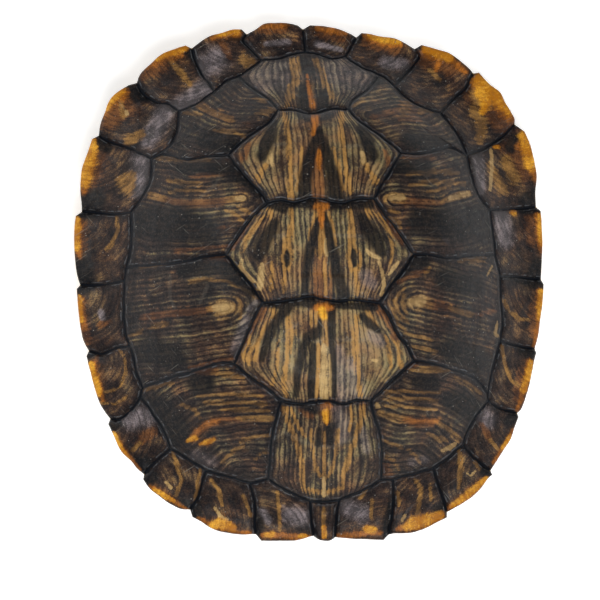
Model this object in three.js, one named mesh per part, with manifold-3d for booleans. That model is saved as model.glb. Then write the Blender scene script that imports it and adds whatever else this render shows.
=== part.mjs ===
// The empty shell of a young pond turtle, in millimetres, +Z up, resting on its flat lower shell.
// The head end faces -Y and the tail end +Y. The domed upper shell, the two bridges at the sides and
// the lower shell grew as one bone box, so they are one solid. It is open at both ends.
// Its horny plates are mapped by hand on a plan of the shell: corners where plates meet, and the few
// points that each wavy seam passes between two corners.
import * as THREE from 'three';
import { mergeVertices } from 'three/addons/utils/BufferGeometryUtils.js';
import Module from 'manifold-3d';

// Driving dimensions
const HALF_WIDTH = 45; // of the smooth oval that the dome is drawn on
const HALF_LENGTH = 50;
const OVAL_POWER = 2.35; // 2 is an ellipse, more is boxier
const RIM_HEIGHT = 10.5; // of the edge above the ground, at the sides
const RIM_LIFT_FRONT = 1.5;
const RIM_LIFT_REAR = 1;
const DOME_RISE = 28; // crown above the edge
const SHOULDER = 1.8; // more makes a flatter crown and steeper sides
const FLARE = 0.07; // share of the rise that runs straight out to the edge
const WALL = 2.2; // bone and horn together
const EDGE_WALL = 1.3; // at the rim
const EDGE_ROUND = 0.5; // drop of the rounded upper edge
const GROOVE_DEPTH = 0.55; // of the seams between plates
const GROOVE_HALF_WIDTH = 0.8;
const GROWTH_SHARE = 0.46; // how far in from the seam the growth ledge lies
const GROWTH_LEDGE = 0.2;
const PLATE_CROWN = 0.7; // swell of a plate at its middle
const RIDGE_HEIGHT = 0.4; // low ridge along the middle of the back
const RIDGE_HALF_WIDTH = 5;
const KNOB_HEIGHT = 0.7; // its knob toward the rear end of each plate
const FLOOR_WALL = 2.4; // thickness of the lower shell
const BRIDGE_WALL = 1.5; // where a bridge runs into the edge plates
const FLAT_HALF_WIDTH = 24; // of the lower shell's level part
const BRIDGE_REACH = 41.5; // where the bridges run into the edge plates
const BRIDGE_RISE = 9.6;
const LOBE_START = -29; // ahead of this the front lobe turns up
const LOBE_LIFT = 1.4;
const FLOOR_GROOVE = 0.3;
const MAP_MIDDLE = [-0.1, 0.4]; // middle of the outline on the plan, where the origin stands

// Plan of the upper shell. rim0 to rim12 are the notches in the edge, cost0 to cost12 the inner
// corners of the edge plates, v the corners on the row down the back, and p the outer ends of the
// seams between side plates. The two sides of a real shell differ a little.
const left = {
  rim0: [-1.2, -49], rim1: [-12.2, -48.4], rim2: [-24.6, -43.4], rim3: [-33.2, -36.4],
  rim4: [-39.4, -25.6], rim5: [-43.2, -12.4], rim6: [-44.6, 0.4], rim7: [-44, 14.6],
  rim8: [-40.4, 29.4], rim9: [-32.8, 39.6], rim10: [-22, 46.2], rim11: [-11.2, 48.8],
  rim12: [-0.2, 49.6],
  cost0: [-2, -42.6], cost1: [-13.4, -39], cost2: [-21.6, -36.4], cost3: [-28.2, -32],
  cost4: [-33.6, -22], cost5: [-35.4, -12.4], cost6: [-36.2, 0.2], cost7: [-34.6, 13.2],
  cost8: [-30.6, 23.4], cost9: [-25, 32.8], cost10: [-18.2, 36.2], cost11: [-8.6, 43],
  cost12: [0, 44.6],
  v0: [-10, -38.4], v12: [-8, -24.8], v2: [-16.4, -17.8], v23: [-11.2, -7], v3: [-17.6, 2.2],
  v34: [-9.8, 11.6], v4: [-16.4, 21.6], v45: [-6.6, 30.6], v5: [-13.2, 39.4],
  p12: [-33.2, -20.4], p23: [-35.8, 2.6],
};
const leftSeams = {
  'rim0 rim1': [[-4.6, -49.8], [-7.8, -49.8], [-11.2, -49.7]],
  'rim1 rim2': [[-14.8, -48.4], [-17.6, -48], [-20.4, -47.2], [-22.8, -45.6], [-24.2, -44.8]],
  'rim2 rim3': [[-26.4, -43.2], [-28.4, -42.2], [-30.2, -40.8], [-32, -39.4], [-33.4, -37.4]],
  'rim3 rim4': [[-34.4, -35.4], [-35.6, -33.8], [-37.4, -32], [-38.6, -29.4], [-39.8, -26.6]],
  'rim4 rim5': [[-40.4, -24.2], [-41.4, -22.4], [-42.2, -19.8], [-43, -16.6], [-43.7, -13.4]],
  'rim5 rim6': [[-44, -11], [-44.6, -8.8], [-45, -5.4], [-45.2, -2.6], [-45.3, -0.4]],
  'rim6 rim7': [[-45, 1.6], [-45.4, 4.2], [-45.6, 7.6], [-45.5, 11.2], [-45.2, 13.8]],
  'rim7 rim8': [[-44, 16.2], [-44.2, 18.8], [-43.8, 23], [-42.8, 25.8], [-41.7, 28.8]],
  'rim8 rim9': [[-40, 31.8], [-39.2, 33.8], [-38, 36.6], [-36.4, 38], [-34.4, 39.2]],
  'rim9 rim10': [[-32.2, 41.2], [-30.2, 43.2], [-27.8, 45.2], [-25.2, 46.2], [-23.2, 46.8]],
  'rim10 rim11': [[-20.4, 47.4], [-18.4, 48.6], [-16, 49.2], [-14, 49.8], [-12.2, 49.8]],
  'rim11 rim12': [[-9.4, 49.8], [-7.8, 50.8], [-5.4, 51], [-2.6, 50.8], [-1.2, 50.4]],
  'rim1 cost1': [[-12.4, -45.8], [-12.4, -42.4]],
  'rim2 cost2': [[-23.2, -41.2], [-22.2, -38]],
  'rim3 cost3': [[-31.2, -34.4]],
  'rim4 cost4': [[-37.8, -25.8], [-35.8, -24.6]],
  'rim5 cost5': [[-40.8, -13.2], [-38.2, -12.4]],
  'rim6 cost6': [[-40.8, 0]],
  'rim7 cost7': [[-42, 14.4], [-38.6, 13.6]],
  'rim8 cost8': [[-38.6, 28.2], [-34, 26]],
  'rim9 cost9': [[-31.6, 37.4], [-29.2, 35.4], [-26.8, 34.6]],
  'rim10 cost10': [[-21.4, 44], [-20.6, 41.6]],
  'rim11 cost11': [[-12, 47.6], [-10.8, 46]],
  'rim0 cost0': [[-1.6, -46.2]],
  'v0 cost0': [[-7.4, -40], [-5.2, -41.2]],
  'v0 v12': [[-9.8, -35.4], [-9.6, -31.2], [-9, -28]],
  'v12 v2': [[-10.4, -22.6], [-13.4, -20.4]],
  'v2 v23': [[-15, -14.4], [-13.8, -12], [-12.4, -9.2]],
  'v23 v3': [[-12.8, -4.4], [-15.4, -0.8]],
  'v3 v34': [[-14.8, 6.2], [-12.8, 8.8]],
  'v34 v4': [[-11, 13.6], [-13.8, 17.2]],
  'v4 v45': [[-14, 24], [-10.4, 26.6], [-8.4, 28.2]],
  'v45 v5': [[-8.2, 33.4], [-11, 36.4]],
  'v5 cost11': [[-10.8, 41.2]],
  'cost11 cost12': [[-5.2, 43.2], [-1.8, 44.4]],
  'cost1 cost2': [[-17.6, -37.6]],
  'cost2 cost3': [[-25.2, -33.8]],
  'cost3 cost4': [[-29.4, -28.8], [-31.6, -25]],
  'p12 cost5': [[-34.4, -16.8]],
  'cost5 cost6': [[-36.2, -10.2], [-36.4, -3.6]],
  'p23 cost7': [[-34.8, 6.6], [-34.6, 10]],
  'cost7 cost8': [[-32.4, 16], [-30.8, 19.2]],
  'cost8 cost9': [[-27, 25.4], [-25.6, 28.6]],
  'cost9 cost10': [[-21.6, 34]],
  'cost10 v5': [[-16.6, 37.8], [-15.2, 38.8]],
  'p12 v2': [[-28.4, -19.2], [-23.6, -18.4], [-19, -17.4]],
  'p23 v3': [[-31.4, 2.2], [-26, 1.8], [-21.4, 2.2]],
  'cost8 v4': [[-28, 23.8], [-24, 21.8], [-19.8, 21.8]],
};
const right = {
  rim0: [3, -49.4], rim1: [13.2, -49.2], rim2: [24.6, -45.2], rim3: [33.4, -37.4],
  rim4: [39, -26.4], rim5: [43, -14], rim6: [44.8, -0.4], rim7: [44.4, 13.8], rim8: [40.8, 30.2],
  rim9: [33, 40.4], rim10: [21.6, 45.4], rim11: [10.2, 47.8], rim12: [-0.2, 49.6],
  cost0: [3.6, -42.6], cost1: [13.8, -39], cost2: [21.8, -37], cost3: [27.8, -32.6],
  cost4: [32.8, -24.4], cost5: [35.4, -13], cost6: [35.8, -0.6], cost7: [34.2, 12.2],
  cost8: [30, 22.8], cost9: [25.4, 31.4], cost10: [16.6, 36.6], cost11: [7.6, 43.4],
  cost12: [0, 44.6],
  v0: [11.4, -39], v12: [8.6, -25.2], v2: [16.8, -18], v23: [10.4, -7.6], v3: [17.2, 1.6],
  v34: [10, 12], v4: [15.8, 21.4], v45: [6.6, 30.4], v5: [14, 39.2],
  p12: [32.8, -23], p23: [34.8, 3.4],
};
const rightSeams = {
  'rim0 rim1': [[6.2, -49.8], [9.4, -50], [12.2, -50.2]],
  'rim1 rim2': [[14.2, -49], [17, -49], [19.8, -48.4], [22.4, -47.2], [24.6, -46.2]],
  'rim2 rim3': [[25.8, -44.6], [29, -42.8], [31.4, -40.8], [32.8, -39], [33.7, -38.2]],
  'rim3 rim4': [[34.4, -36], [36.2, -33.4], [37.6, -31.4], [38.6, -28.8], [39.3, -27.2]],
  'rim4 rim5': [[39.8, -25.8], [41, -23], [42, -19.8], [42.8, -16.4], [43.3, -14.8]],
  'rim5 rim6': [[43.8, -11.4], [44.4, -8.2], [45, -4.6], [45.3, -1.4]],
  'rim6 rim7': [[45, 2], [45.4, 6.6], [45.4, 10.8], [45.3, 13]],
  'rim7 rim8': [[44.4, 16.8], [44.8, 20], [44.4, 23], [43.8, 26], [42.7, 28.8]],
  'rim8 rim9': [[40.8, 31.4], [39, 34.8], [38.2, 36.6], [36, 38.4], [34.1, 40.6]],
  'rim9 rim10': [[32.4, 41.2], [30.2, 43.2], [28.2, 44.6], [25.6, 45.4], [23, 46.2]],
  'rim10 rim11': [[20, 46.4], [17.6, 47.6], [14.8, 48], [12.6, 48.6], [11.2, 48.7]],
  'rim11 rim12': [[9, 48.6], [6.6, 49.6], [3.8, 50.2], [1.2, 50.4]],
  'rim1 cost1': [[14, -45.6], [14, -41.8]],
  'rim2 cost2': [[23.6, -41.8]],
  'rim3 cost3': [[29.6, -34.6]],
  'rim4 cost4': [[35.4, -25.6]],
  'rim5 cost5': [[39.8, -13.6]],
  'rim6 cost6': [[39.4, -0.2]],
  'rim7 cost7': [[41, 13.4]],
  'rim8 cost8': [[36.4, 26.4]],
  'rim9 cost9': [[31.2, 37.4], [28.2, 34.6]],
  'rim10 cost10': [[22.6, 44.2], [21, 41.8]],
  'rim0 cost0': [[3.2, -45.6]],
  'v0 cost0': [[8.8, -40.6], [6, -41.6]],
  'v0 v12': [[11.4, -35], [10.6, -30.8], [9.4, -27.8]],
  'v12 v2': [[10.6, -23.4], [14.2, -20.2]],
  'v2 v23': [[15.2, -15], [13.6, -13.2], [11.8, -9.6]],
  'v23 v3': [[12, -5], [14.8, -1.8]],
  'v3 v34': [[14.6, 5.4], [11.8, 9.2]],
  'v34 v4': [[11.6, 14.8], [13.8, 18]],
  'v4 v45': [[13.4, 23.8], [9.8, 26.8], [8, 28.4]],
  'v45 v5': [[7.6, 32.6], [10.6, 35]],
  'v5 cost11': [[10.6, 41]],
  'cost11 cost12': [[4.8, 43], [2, 44.2]],
  'cost1 cost2': [[18, -38]],
  'cost2 cost3': [[24.4, -35.2]],
  'cost3 cost4': [[28.6, -30.2], [30.4, -27.2]],
  'p12 cost5': [[33.6, -18.6]],
  'cost5 cost6': [[36, -9.4], [35.8, -4.8]],
  'p23 cost7': [[34.6, 6.6]],
  'cost7 cost8': [[32, 14.4], [30.6, 18.4]],
  'cost8 cost9': [[28.6, 26.8]],
  'cost9 cost10': [[20.8, 32.6], [18.2, 34.4]],
  'cost10 v5': [[15.4, 38.2]],
  'p12 v2': [[29.8, -20.4], [25, -19.2], [20, -18.2]],
  'p23 v3': [[29.4, 2.4], [24.6, 1.4], [20.4, 1.6]],
  'cost8 v4': [[26.4, 23.8], [23.2, 22.6], [19.4, 21.4]],
};
// Seams that cross the middle of the back, from left to right.
const crossSeams = {
  v12: [[-4.4, -25.4], [-2, -25.2], [0.8, -25], [3.8, -25.6], [5.8, -25]],
  v23: [[-8.2, -7], [-5.2, -6.6], [-2.4, -6.2], [-0.4, -6.8], [3, -7.2], [5.4, -7]],
  v34: [[-7.6, 12], [-4.6, 11.6], [-1.8, 12.2], [0, 12], [3.6, 11.2], [7.4, 12]],
  v45: [[-4, 30.6], [-0.6, 29.4], [4, 30.6]],
  cost0: [[0.6, -42.8]],
  rim0: [[-0.2, -49.8], [1.8, -50]],
};

// Plan of the lower shell, right half; the left half mirrors it. m are corners on the middle line,
// e the corners on its edge.
const lower = {
  m0: [0, -45.6], m1: [0, -37], m2: [0, -28.4], m3: [0, -13.6], m4: [0, 9.4], m5: [0, 23.6],
  m6: [0, 42],
  e1: [11.6, -42.4], e2: [20.6, -29], e3: [BRIDGE_REACH, -8.4], e4: [23, 18], e5: [21.4, 31],
};
const lowerSeams = {
  'm0 e1': [[4.4, -46.2], [8.8, -45]],
  'e1 e2': [[15.6, -38.4], [18.8, -33.6]],
  'e2 e3': [[22.4, -24.8], [26.4, -22], [32.6, -20.4], [39.6, -20], [41, -14]],
  'e3 e4': [[BRIDGE_REACH, 2], [41, 12], [39.4, 14.6], [32.4, 14.2], [26.6, 15.4]],
  'e4 e5': [[23.6, 23], [23, 27.4]],
  'e5 m6': [[18.6, 36.6], [13.6, 42], [7.4, 45.6], [3, 45.2]],
  'e1 m1': [[5.6, -40]],
  'e2 m2': [[10.4, -28]],
  'e3 m3': [[30, -10], [14, -12.6]],
  'e4 m4': [[12, 13.4]],
  'e5 m5': [[10.6, 28.6]],
};

// Walks a loop of corners and returns its points, seam by seam, as [x, y] pairs.
function walk(corners) {
  const points = [];
  corners.forEach(([table, seams, from], i) => {
    const [nextTable, , to] = corners[(i + 1) % corners.length];
    points.push(table[from]);
    if (table !== nextTable && from === to) {
      const between = crossSeams[from] ?? [];
      points.push(...(table === left ? between : [...between].reverse()));
      return;
    }
    const forward = seams[`${from} ${to}`];
    const backward = seams[`${to} ${from}`];
    points.push(...(forward ?? (backward ? [...backward].reverse() : [])));
  });
  return points.filter((point, i) => {
    const next = points[(i + 1) % points.length];
    return Math.hypot(point[0] - next[0], point[1] - next[1]) > 1e-6;
  });
}
const on = (table, seams, names) => names.split(' ').map((name) => [table, seams, name]);
const onLeft = (names) => on(left, leftSeams, names);
const onRight = (names) => on(right, rightSeams, names);

// Loops are turned so that they run anticlockwise seen from above.
function anticlockwise(points) {
  const shape = points.map(([x, y]) => new THREE.Vector2(x, y));
  return THREE.ShapeUtils.area(shape) < 0 ? [...points].reverse() : points;
}

function middleOf(points) {
  const sum = points.reduce(([sx, sy], [x, y]) => [sx + x, sy + y], [0, 0]);
  return [sum[0] / points.length, sum[1] / points.length];
}

const smooth = (from, to, value) => THREE.MathUtils.smoothstep(value, from, to);

// How far out a point lies: 0 at the crown, 1 on the smooth oval of the edge.
function reach(x, y) {
  const across = Math.abs(x / HALF_WIDTH) ** OVAL_POWER;
  const along = Math.abs(y / HALF_LENGTH) ** OVAL_POWER;
  return (across + along) ** (1 / OVAL_POWER);
}

// Low ridge along the middle of the back, which dies away toward the neck and the tail.
function ridge(x, y) {
  const side = Math.max(0, 1 - (x / RIDGE_HALF_WIDTH) ** 2) ** 2;
  return side * smooth(-44, -34, y) * (1 - smooth(34, 44, y));
}

// Height of the upper shell over the plan, without its seams.
function domeHeight(x, y) {
  const out = Math.min(reach(x, y), 1.15);
  const front = THREE.MathUtils.clamp(-y / HALF_LENGTH, 0, 1) ** 2 * RIM_LIFT_FRONT;
  const rear = THREE.MathUtils.clamp(y / HALF_LENGTH, 0, 1) ** 2 * RIM_LIFT_REAR;
  const bell = (1 + Math.cos(Math.PI * Math.min(out, 1) ** SHOULDER)) / 2;
  const dome = DOME_RISE * ((1 - FLARE) * bell + FLARE * (1 - out));
  return RIM_HEIGHT + front + rear + dome + RIDGE_HEIGHT * ridge(x, y);
}

// Height of the lower shell's outer face: level, with bridges rising at the sides.
function floorHeight(x, y) {
  const rise = BRIDGE_RISE * smooth(FLAT_HALF_WIDTH, BRIDGE_REACH, Math.abs(x));
  const lobe = Math.max(0, LOBE_START - y) / 17;
  return rise + LOBE_LIFT * lobe ** 2;
}

const triangles = { upper: [], lower: [] };
function face(part, a, b, c) {
  triangles[part].push(...a, ...b, ...c);
}
// Bridges two rings of equal count, or closes a ring on its middle point.
function band(part, outer, inner, facing = 1) {
  outer.forEach((a, i) => {
    const j = (i + 1) % outer.length;
    const [b, c, d] = [outer[j], inner[j], inner[i]];
    if (facing > 0) {
      face(part, a, b, c);
      face(part, a, c, d);
    } else {
      face(part, a, c, b);
      face(part, a, d, c);
    }
  });
}
function close(part, ring, middle, facing = 1) {
  ring.forEach((a, i) => {
    const b = ring[(i + 1) % ring.length];
    if (facing > 0) face(part, a, b, middle);
    else face(part, b, a, middle);
  });
}

// One horny plate as rings that shrink toward its middle. A ring is its share of the way in and its
// rise above the plain surface; the first one is the seam and the second the shoulder of its groove.
function plate(part, points, middle, height, levels, edgePoints, facing = 1) {
  const loop = anticlockwise(points);
  const isEdge = ([x, y]) => edgePoints.some(([ex, ey]) => ex === x && ey === y);
  const rings = levels.map(([share, rise], level) => loop.map((point) => {
    const [x, y] = point;
    const span = Math.hypot(middle[0] - x, middle[1] - y);
    const inset = level === 1 ? Math.min(GROOVE_HALF_WIDTH / span, 0.3) : share;
    const px = x + (middle[0] - x) * inset;
    const py = y + (middle[1] - y) * inset;
    const lift = level === 0 && isEdge(point) ? -EDGE_ROUND : rise;
    return [px, py, height(px, py, level) + lift * facing];
  }));
  for (let i = 0; i + 1 < rings.length; i += 1) band(part, rings[i], rings[i + 1], facing);
  const crown = levels.at(-1)[2] ?? 0;
  const top = height(middle[0], middle[1], levels.length) + crown * facing;
  close(part, rings.at(-1), [middle[0], middle[1], top], facing);
}
const edgeLevels = [
  [0, -GROOVE_DEPTH],
  [0, 0],
  [GROWTH_SHARE, PLATE_CROWN * 0.6],
  [GROWTH_SHARE + 0.06, PLATE_CROWN * 0.6 - GROWTH_LEDGE, PLATE_CROWN],
];
const broadLevels = [
  ...edgeLevels.slice(0, 2),
  [GROWTH_SHARE / 2, PLATE_CROWN * 0.4],
  ...edgeLevels.slice(2, 3),
  [GROWTH_SHARE + 0.04, PLATE_CROWN * 0.6 - GROWTH_LEDGE],
  [GROWTH_SHARE + 0.3, PLATE_CROWN * 0.8, PLATE_CROWN],
];
const lowerLevels = [[0, -FLOOR_GROOVE], [0, 0], [0.3, 0], [0.6, 0, 0]];

// Upper shell: its edge, then every plate inside it.
const rimNames = Array.from({ length: 13 }, (_, i) => `rim${i}`);
const edgeLoop = anticlockwise(walk([
  ...onLeft(rimNames.join(' ')),
  ...onRight([...rimNames].reverse().join(' ')),
]));

const backRow = [
  [...onLeft('cost0 v0 v12'), ...onRight('v12 v0 cost0')],
  [...onLeft('v12 v2 v23'), ...onRight('v23 v2 v12')],
  [...onLeft('v23 v3 v34'), ...onRight('v34 v3 v23')],
  [...onLeft('v34 v4 v45'), ...onRight('v45 v4 v34')],
  [...onLeft('v45 v5 cost11 cost12'), ...onRight('cost12 cost11 v5 v45')],
];
backRow.forEach((corners) => {
  const points = walk(corners);
  const rows = points.map(([, y]) => y);
  const [front, rear] = [Math.min(...rows), Math.max(...rows)];
  const middle = [0.2, front + (rear - front) * 0.6];
  const knob = (x, y) => KNOB_HEIGHT * ridge(x, y) * ((y - front) / (rear - front));
  const height = (x, y, level) => domeHeight(x, y) + (level > 0 ? knob(x, y) : 0);
  plate('upper', points, middle, height, broadLevels, []);
});

const sidePlates = [
  'v12 v0 cost1 cost2 cost3 cost4 p12 v2',
  'v2 p12 cost5 cost6 p23 v3 v23',
  'v3 p23 cost7 cost8 v4 v34',
  'v4 cost8 cost9 cost10 v5 v45',
];
const edgePlates = [
  'rim0 rim1 cost1 v0 cost0',
  'rim1 rim2 cost2 cost1',
  'rim2 rim3 cost3 cost2',
  'rim3 rim4 cost4 cost3',
  'rim4 rim5 cost5 p12 cost4',
  'rim5 rim6 cost6 cost5',
  'rim6 rim7 cost7 p23 cost6',
  'rim7 rim8 cost8 cost7',
  'rim8 rim9 cost9 cost8',
  'rim9 rim10 cost10 cost9',
  'rim10 rim11 cost11 v5 cost10',
  'rim11 rim12 cost12 cost11',
];
[onLeft, onRight].forEach((side) => {
  sidePlates.forEach((names) => {
    const points = walk(side(names));
    plate('upper', points, middleOf(points), domeHeight, broadLevels, []);
  });
  edgePlates.forEach((names) => {
    const points = walk(side(names));
    plate('upper', points, middleOf(points), domeHeight, edgeLevels, edgeLoop);
  });
});
const neckPlate = walk([...onLeft('cost0 rim0'), ...onRight('rim0 cost0')]);
plate('upper', neckPlate, middleOf(neckPlate), domeHeight, edgeLevels, edgeLoop);

// The underside of the upper shell follows the dome one wall below it.
function undersideRing(loop, scale) {
  return loop.map(([x, y]) => {
    const [px, py] = [x * scale, y * scale];
    const wall = THREE.MathUtils.lerp(WALL, EDGE_WALL, scale ** 8);
    return [px, py, domeHeight(px, py) - wall];
  });
}
const edgeTop = edgeLoop.map(([x, y]) => [x, y, domeHeight(x, y) - EDGE_ROUND]);
const edgeFoot = undersideRing(edgeLoop, 1);
const lip = undersideRing(edgeLoop, 0.975);
band('upper', edgeFoot, edgeTop);
band('upper', edgeFoot, lip, -1);
// From the lip inward every third point is enough.
let inner = undersideRing(edgeLoop.filter((_, i) => i % 3 === 0), 0.9);
inner.forEach((corner, i) => {
  const last = Math.min(3 * i + 3, lip.length);
  for (let k = 3 * i; k < last; k += 1) {
    face('upper', lip[(k + 1) % lip.length], lip[k], corner);
  }
  face('upper', lip[last % lip.length], corner, inner[(i + 1) % inner.length]);
});
[0.78, 0.62, 0.44, 0.22].forEach((scale) => {
  const next = undersideRing(edgeLoop.filter((_, i) => i % 3 === 0), scale);
  band('upper', inner, next, -1);
  inner = next;
});
close('upper', inner, [0, 0, domeHeight(0, 0) - WALL], -1);

// Lower shell: six plates a side, its edge, and the floor inside.
const mirrored = (points) => points.map(([x, y]) => [x === 0 ? 0 : -x, y]);
const onLower = (names) => on(lower, lowerSeams, names);
const rightEdge = walk(onLower('m0 e1 e2 e3 e4 e5 m6'));
const lowerEdge = anticlockwise([...rightEdge, ...mirrored(rightEdge).reverse().slice(1, -1)]);
[
  'm0 e1 m1',
  'm1 e1 e2 m2',
  'm2 e2 e3 m3',
  'm3 e3 e4 m4',
  'm4 e4 e5 m5',
  'm5 e5 m6',
].forEach((names) => {
  const points = walk(onLower(names));
  [points, mirrored(points)].forEach((half) => {
    plate('lower', half, middleOf(half), floorHeight, lowerLevels, lowerEdge, -1);
  });
});
function floorTop(scale) {
  return lowerEdge.map(([x, y]) => {
    const [px, py] = [x * scale, y * scale];
    const share = smooth(FLAT_HALF_WIDTH, BRIDGE_REACH, Math.abs(px));
    const wall = THREE.MathUtils.lerp(FLOOR_WALL, BRIDGE_WALL, share);
    return [px, py, floorHeight(px, py) + wall - (scale === 1 ? EDGE_ROUND : 0)];
  });
}
const lowerFoot = lowerEdge.map(([x, y]) => [x, y, floorHeight(x, y) + EDGE_ROUND]);
const floorScales = [1, 0.96, 0.84, 0.66, 0.4];
const floorRings = floorScales.map(floorTop);
band('lower', lowerFoot, floorRings[0]);
for (let i = 0; i + 1 < floorRings.length; i += 1) band('lower', floorRings[i], floorRings[i + 1]);
close('lower', floorRings.at(-1), [0, 0, floorHeight(0, 0) + FLOOR_WALL]);

const wasm = await Module();
wasm.setup();

function solid(positions) {
  const geometry = new THREE.BufferGeometry();
  geometry.setAttribute('position', new THREE.Float32BufferAttribute(positions, 3));
  const merged = mergeVertices(geometry, 1e-4);
  return new wasm.Manifold(new wasm.Mesh({
    numProp: 3,
    vertProperties: merged.attributes.position.array,
    triVerts: new Uint32Array(merged.index.array),
  }));
}

const grown = solid(triangles.upper).add(solid(triangles.lower)).getMesh();
const geometry = new THREE.BufferGeometry();
geometry.setAttribute('position', new THREE.BufferAttribute(grown.vertProperties, 3));
geometry.setIndex(new THREE.BufferAttribute(grown.triVerts, 1));
geometry.translate(-MAP_MIDDLE[0], -MAP_MIDDLE[1], 0);
geometry.computeVertexNormals();

const horn = new THREE.MeshStandardMaterial({ color: 0x3a2b1d, roughness: 0.5, metalness: 0 });
const shell = new THREE.Mesh(geometry, horn);
shell.name = 'turtle_shell';

const group = new THREE.Group();
group.add(shell);
export default group;
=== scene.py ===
# The empty shell of a young pond turtle. It rests on its flat lower shell, with the neck opening toward
# -Y and the tail opening toward +Y. Plans and sizes are in millimetres, and place() turns them to
# metres where the frame has them.
import functools
import math

import bmesh
import bpy
import numpy
from mathutils import Matrix, Vector, kdtree, noise


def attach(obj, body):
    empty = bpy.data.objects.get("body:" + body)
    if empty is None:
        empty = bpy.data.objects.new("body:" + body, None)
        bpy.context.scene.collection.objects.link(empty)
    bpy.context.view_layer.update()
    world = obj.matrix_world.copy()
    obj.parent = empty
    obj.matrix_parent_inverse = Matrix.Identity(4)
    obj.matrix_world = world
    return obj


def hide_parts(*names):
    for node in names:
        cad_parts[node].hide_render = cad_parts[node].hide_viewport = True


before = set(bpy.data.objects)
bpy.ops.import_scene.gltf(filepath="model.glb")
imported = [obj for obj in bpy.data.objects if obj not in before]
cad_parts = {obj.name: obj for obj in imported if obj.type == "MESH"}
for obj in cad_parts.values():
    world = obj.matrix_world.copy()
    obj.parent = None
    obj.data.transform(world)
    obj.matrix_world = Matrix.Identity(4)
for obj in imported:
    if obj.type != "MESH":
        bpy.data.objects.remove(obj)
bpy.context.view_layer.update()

# ---- Bone box ------------------------------------------------------------------------------------
# The dome and the floor of a turtle's body are one closed box of thin bone, grown together from ribs
# and skin plates. The horn outside hides it, so it shows only inside the neck and tail openings.
MM = 0.001
HALF_WIDTH, HALF_LENGTH, OVAL_POWER = 45, 50, 2.35
RIM_HEIGHT, RIM_LIFT_FRONT, RIM_LIFT_REAR = 10.5, 1.5, 1
DOME_RISE, SHOULDER, FLARE, FLARE_END = 28, 1.8, 0.07, 1.15
WALL, EDGE_WALL, WALL_THINS_FROM = 2.2, 1.3, 0.8
RIDGE_HEIGHT, RIDGE_HALF_WIDTH, RIDGE_FULL, RIDGE_END = 0.4, 5, 34, 44
FLOOR_WALL, BRIDGE_WALL = 2.4, 1.5
FLAT_HALF_WIDTH, BRIDGE_REACH, BRIDGE_RISE = 24, 41.5, 9.6
LOBE_START, LOBE_REACH, LOBE_LIFT = -29, 17, 1.4
MAP_MIDDLE = (-0.1, 0.4)
HORN = 0.8  # thickness of a horn plate away from the rim
SEAM_STEP = 0.4  # spacing of the points along a seam
SEAM_WAVER, RIM_WAVER, STEADY_END = 0.14, 0.05, 1.2  # sideways waver, and its calm stretch at a corner
BROAD_WAVER, TIGHT_WAVER, TIGHT_SHARE = 0.55, 1.6, 0.4  # turns of the waver's noise per mm
BORDER_SHARE = 0.6  # the border rings of a narrow plate end by this share of the way in
SHARP_EDGE = math.radians(55)
FAR = 9  # stands for any longer distance
noise.seed_set(5)  # so that the seams waver the same way each time

# Corners of the plates on the plan: rim0 to rim12 are the notches in the edge, cost0 to cost12 the
# inner corners of the edge plates, v the corners on the row down the back, p the outer ends of the
# seams between side plates.
left = {
    "rim0": (-1.2, -49), "rim1": (-12.2, -48.4), "rim2": (-24.6, -43.4), "rim3": (-33.2, -36.4),
    "rim4": (-39.4, -25.6), "rim5": (-43.2, -12.4), "rim6": (-44.6, 0.4), "rim7": (-44, 14.6),
    "rim8": (-40.4, 29.4), "rim9": (-32.8, 39.6), "rim10": (-22, 46.2), "rim11": (-11.2, 48.8),
    "rim12": (-0.2, 49.6), "cost0": (-2, -42.6), "cost1": (-13.4, -39), "cost2": (-21.6, -36.4),
    "cost3": (-28.2, -32), "cost4": (-33.6, -22), "cost5": (-35.4, -12.4), "cost6": (-36.2, 0.2),
    "cost7": (-34.6, 13.2), "cost8": (-30.6, 23.4), "cost9": (-25, 32.8), "cost10": (-18.2, 36.2),
    "cost11": (-8.6, 43), "cost12": (0, 44.6), "v0": (-10, -38.4), "v12": (-8, -24.8),
    "v2": (-16.4, -17.8), "v23": (-11.2, -7), "v3": (-17.6, 2.2), "v34": (-9.8, 11.6),
    "v4": (-16.4, 21.6), "v45": (-6.6, 30.6), "v5": (-13.2, 39.4), "p12": (-33.2, -20.4),
    "p23": (-35.8, 2.6),
}
right = {
    "rim0": (3, -49.4), "rim1": (13.2, -49.2), "rim2": (24.6, -45.2), "rim3": (33.4, -37.4),
    "rim4": (39, -26.4), "rim5": (43, -14), "rim6": (44.8, -0.4), "rim7": (44.4, 13.8),
    "rim8": (40.8, 30.2), "rim9": (33, 40.4), "rim10": (21.6, 45.4), "rim11": (10.2, 47.8),
    "rim12": (-0.2, 49.6), "cost0": (3.6, -42.6), "cost1": (13.8, -39), "cost2": (21.8, -37),
    "cost3": (27.8, -32.6), "cost4": (32.8, -24.4), "cost5": (35.4, -13), "cost6": (35.8, -0.6),
    "cost7": (34.2, 12.2), "cost8": (30, 22.8), "cost9": (25.4, 31.4), "cost10": (16.6, 36.6),
    "cost11": (7.6, 43.4), "cost12": (0, 44.6), "v0": (11.4, -39), "v12": (8.6, -25.2),
    "v2": (16.8, -18), "v23": (10.4, -7.6), "v3": (17.2, 1.6), "v34": (10, 12), "v4": (15.8, 21.4),
    "v45": (6.6, 30.4), "v5": (14, 39.2), "p12": (32.8, -23), "p23": (34.8, 3.4),
}
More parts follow.
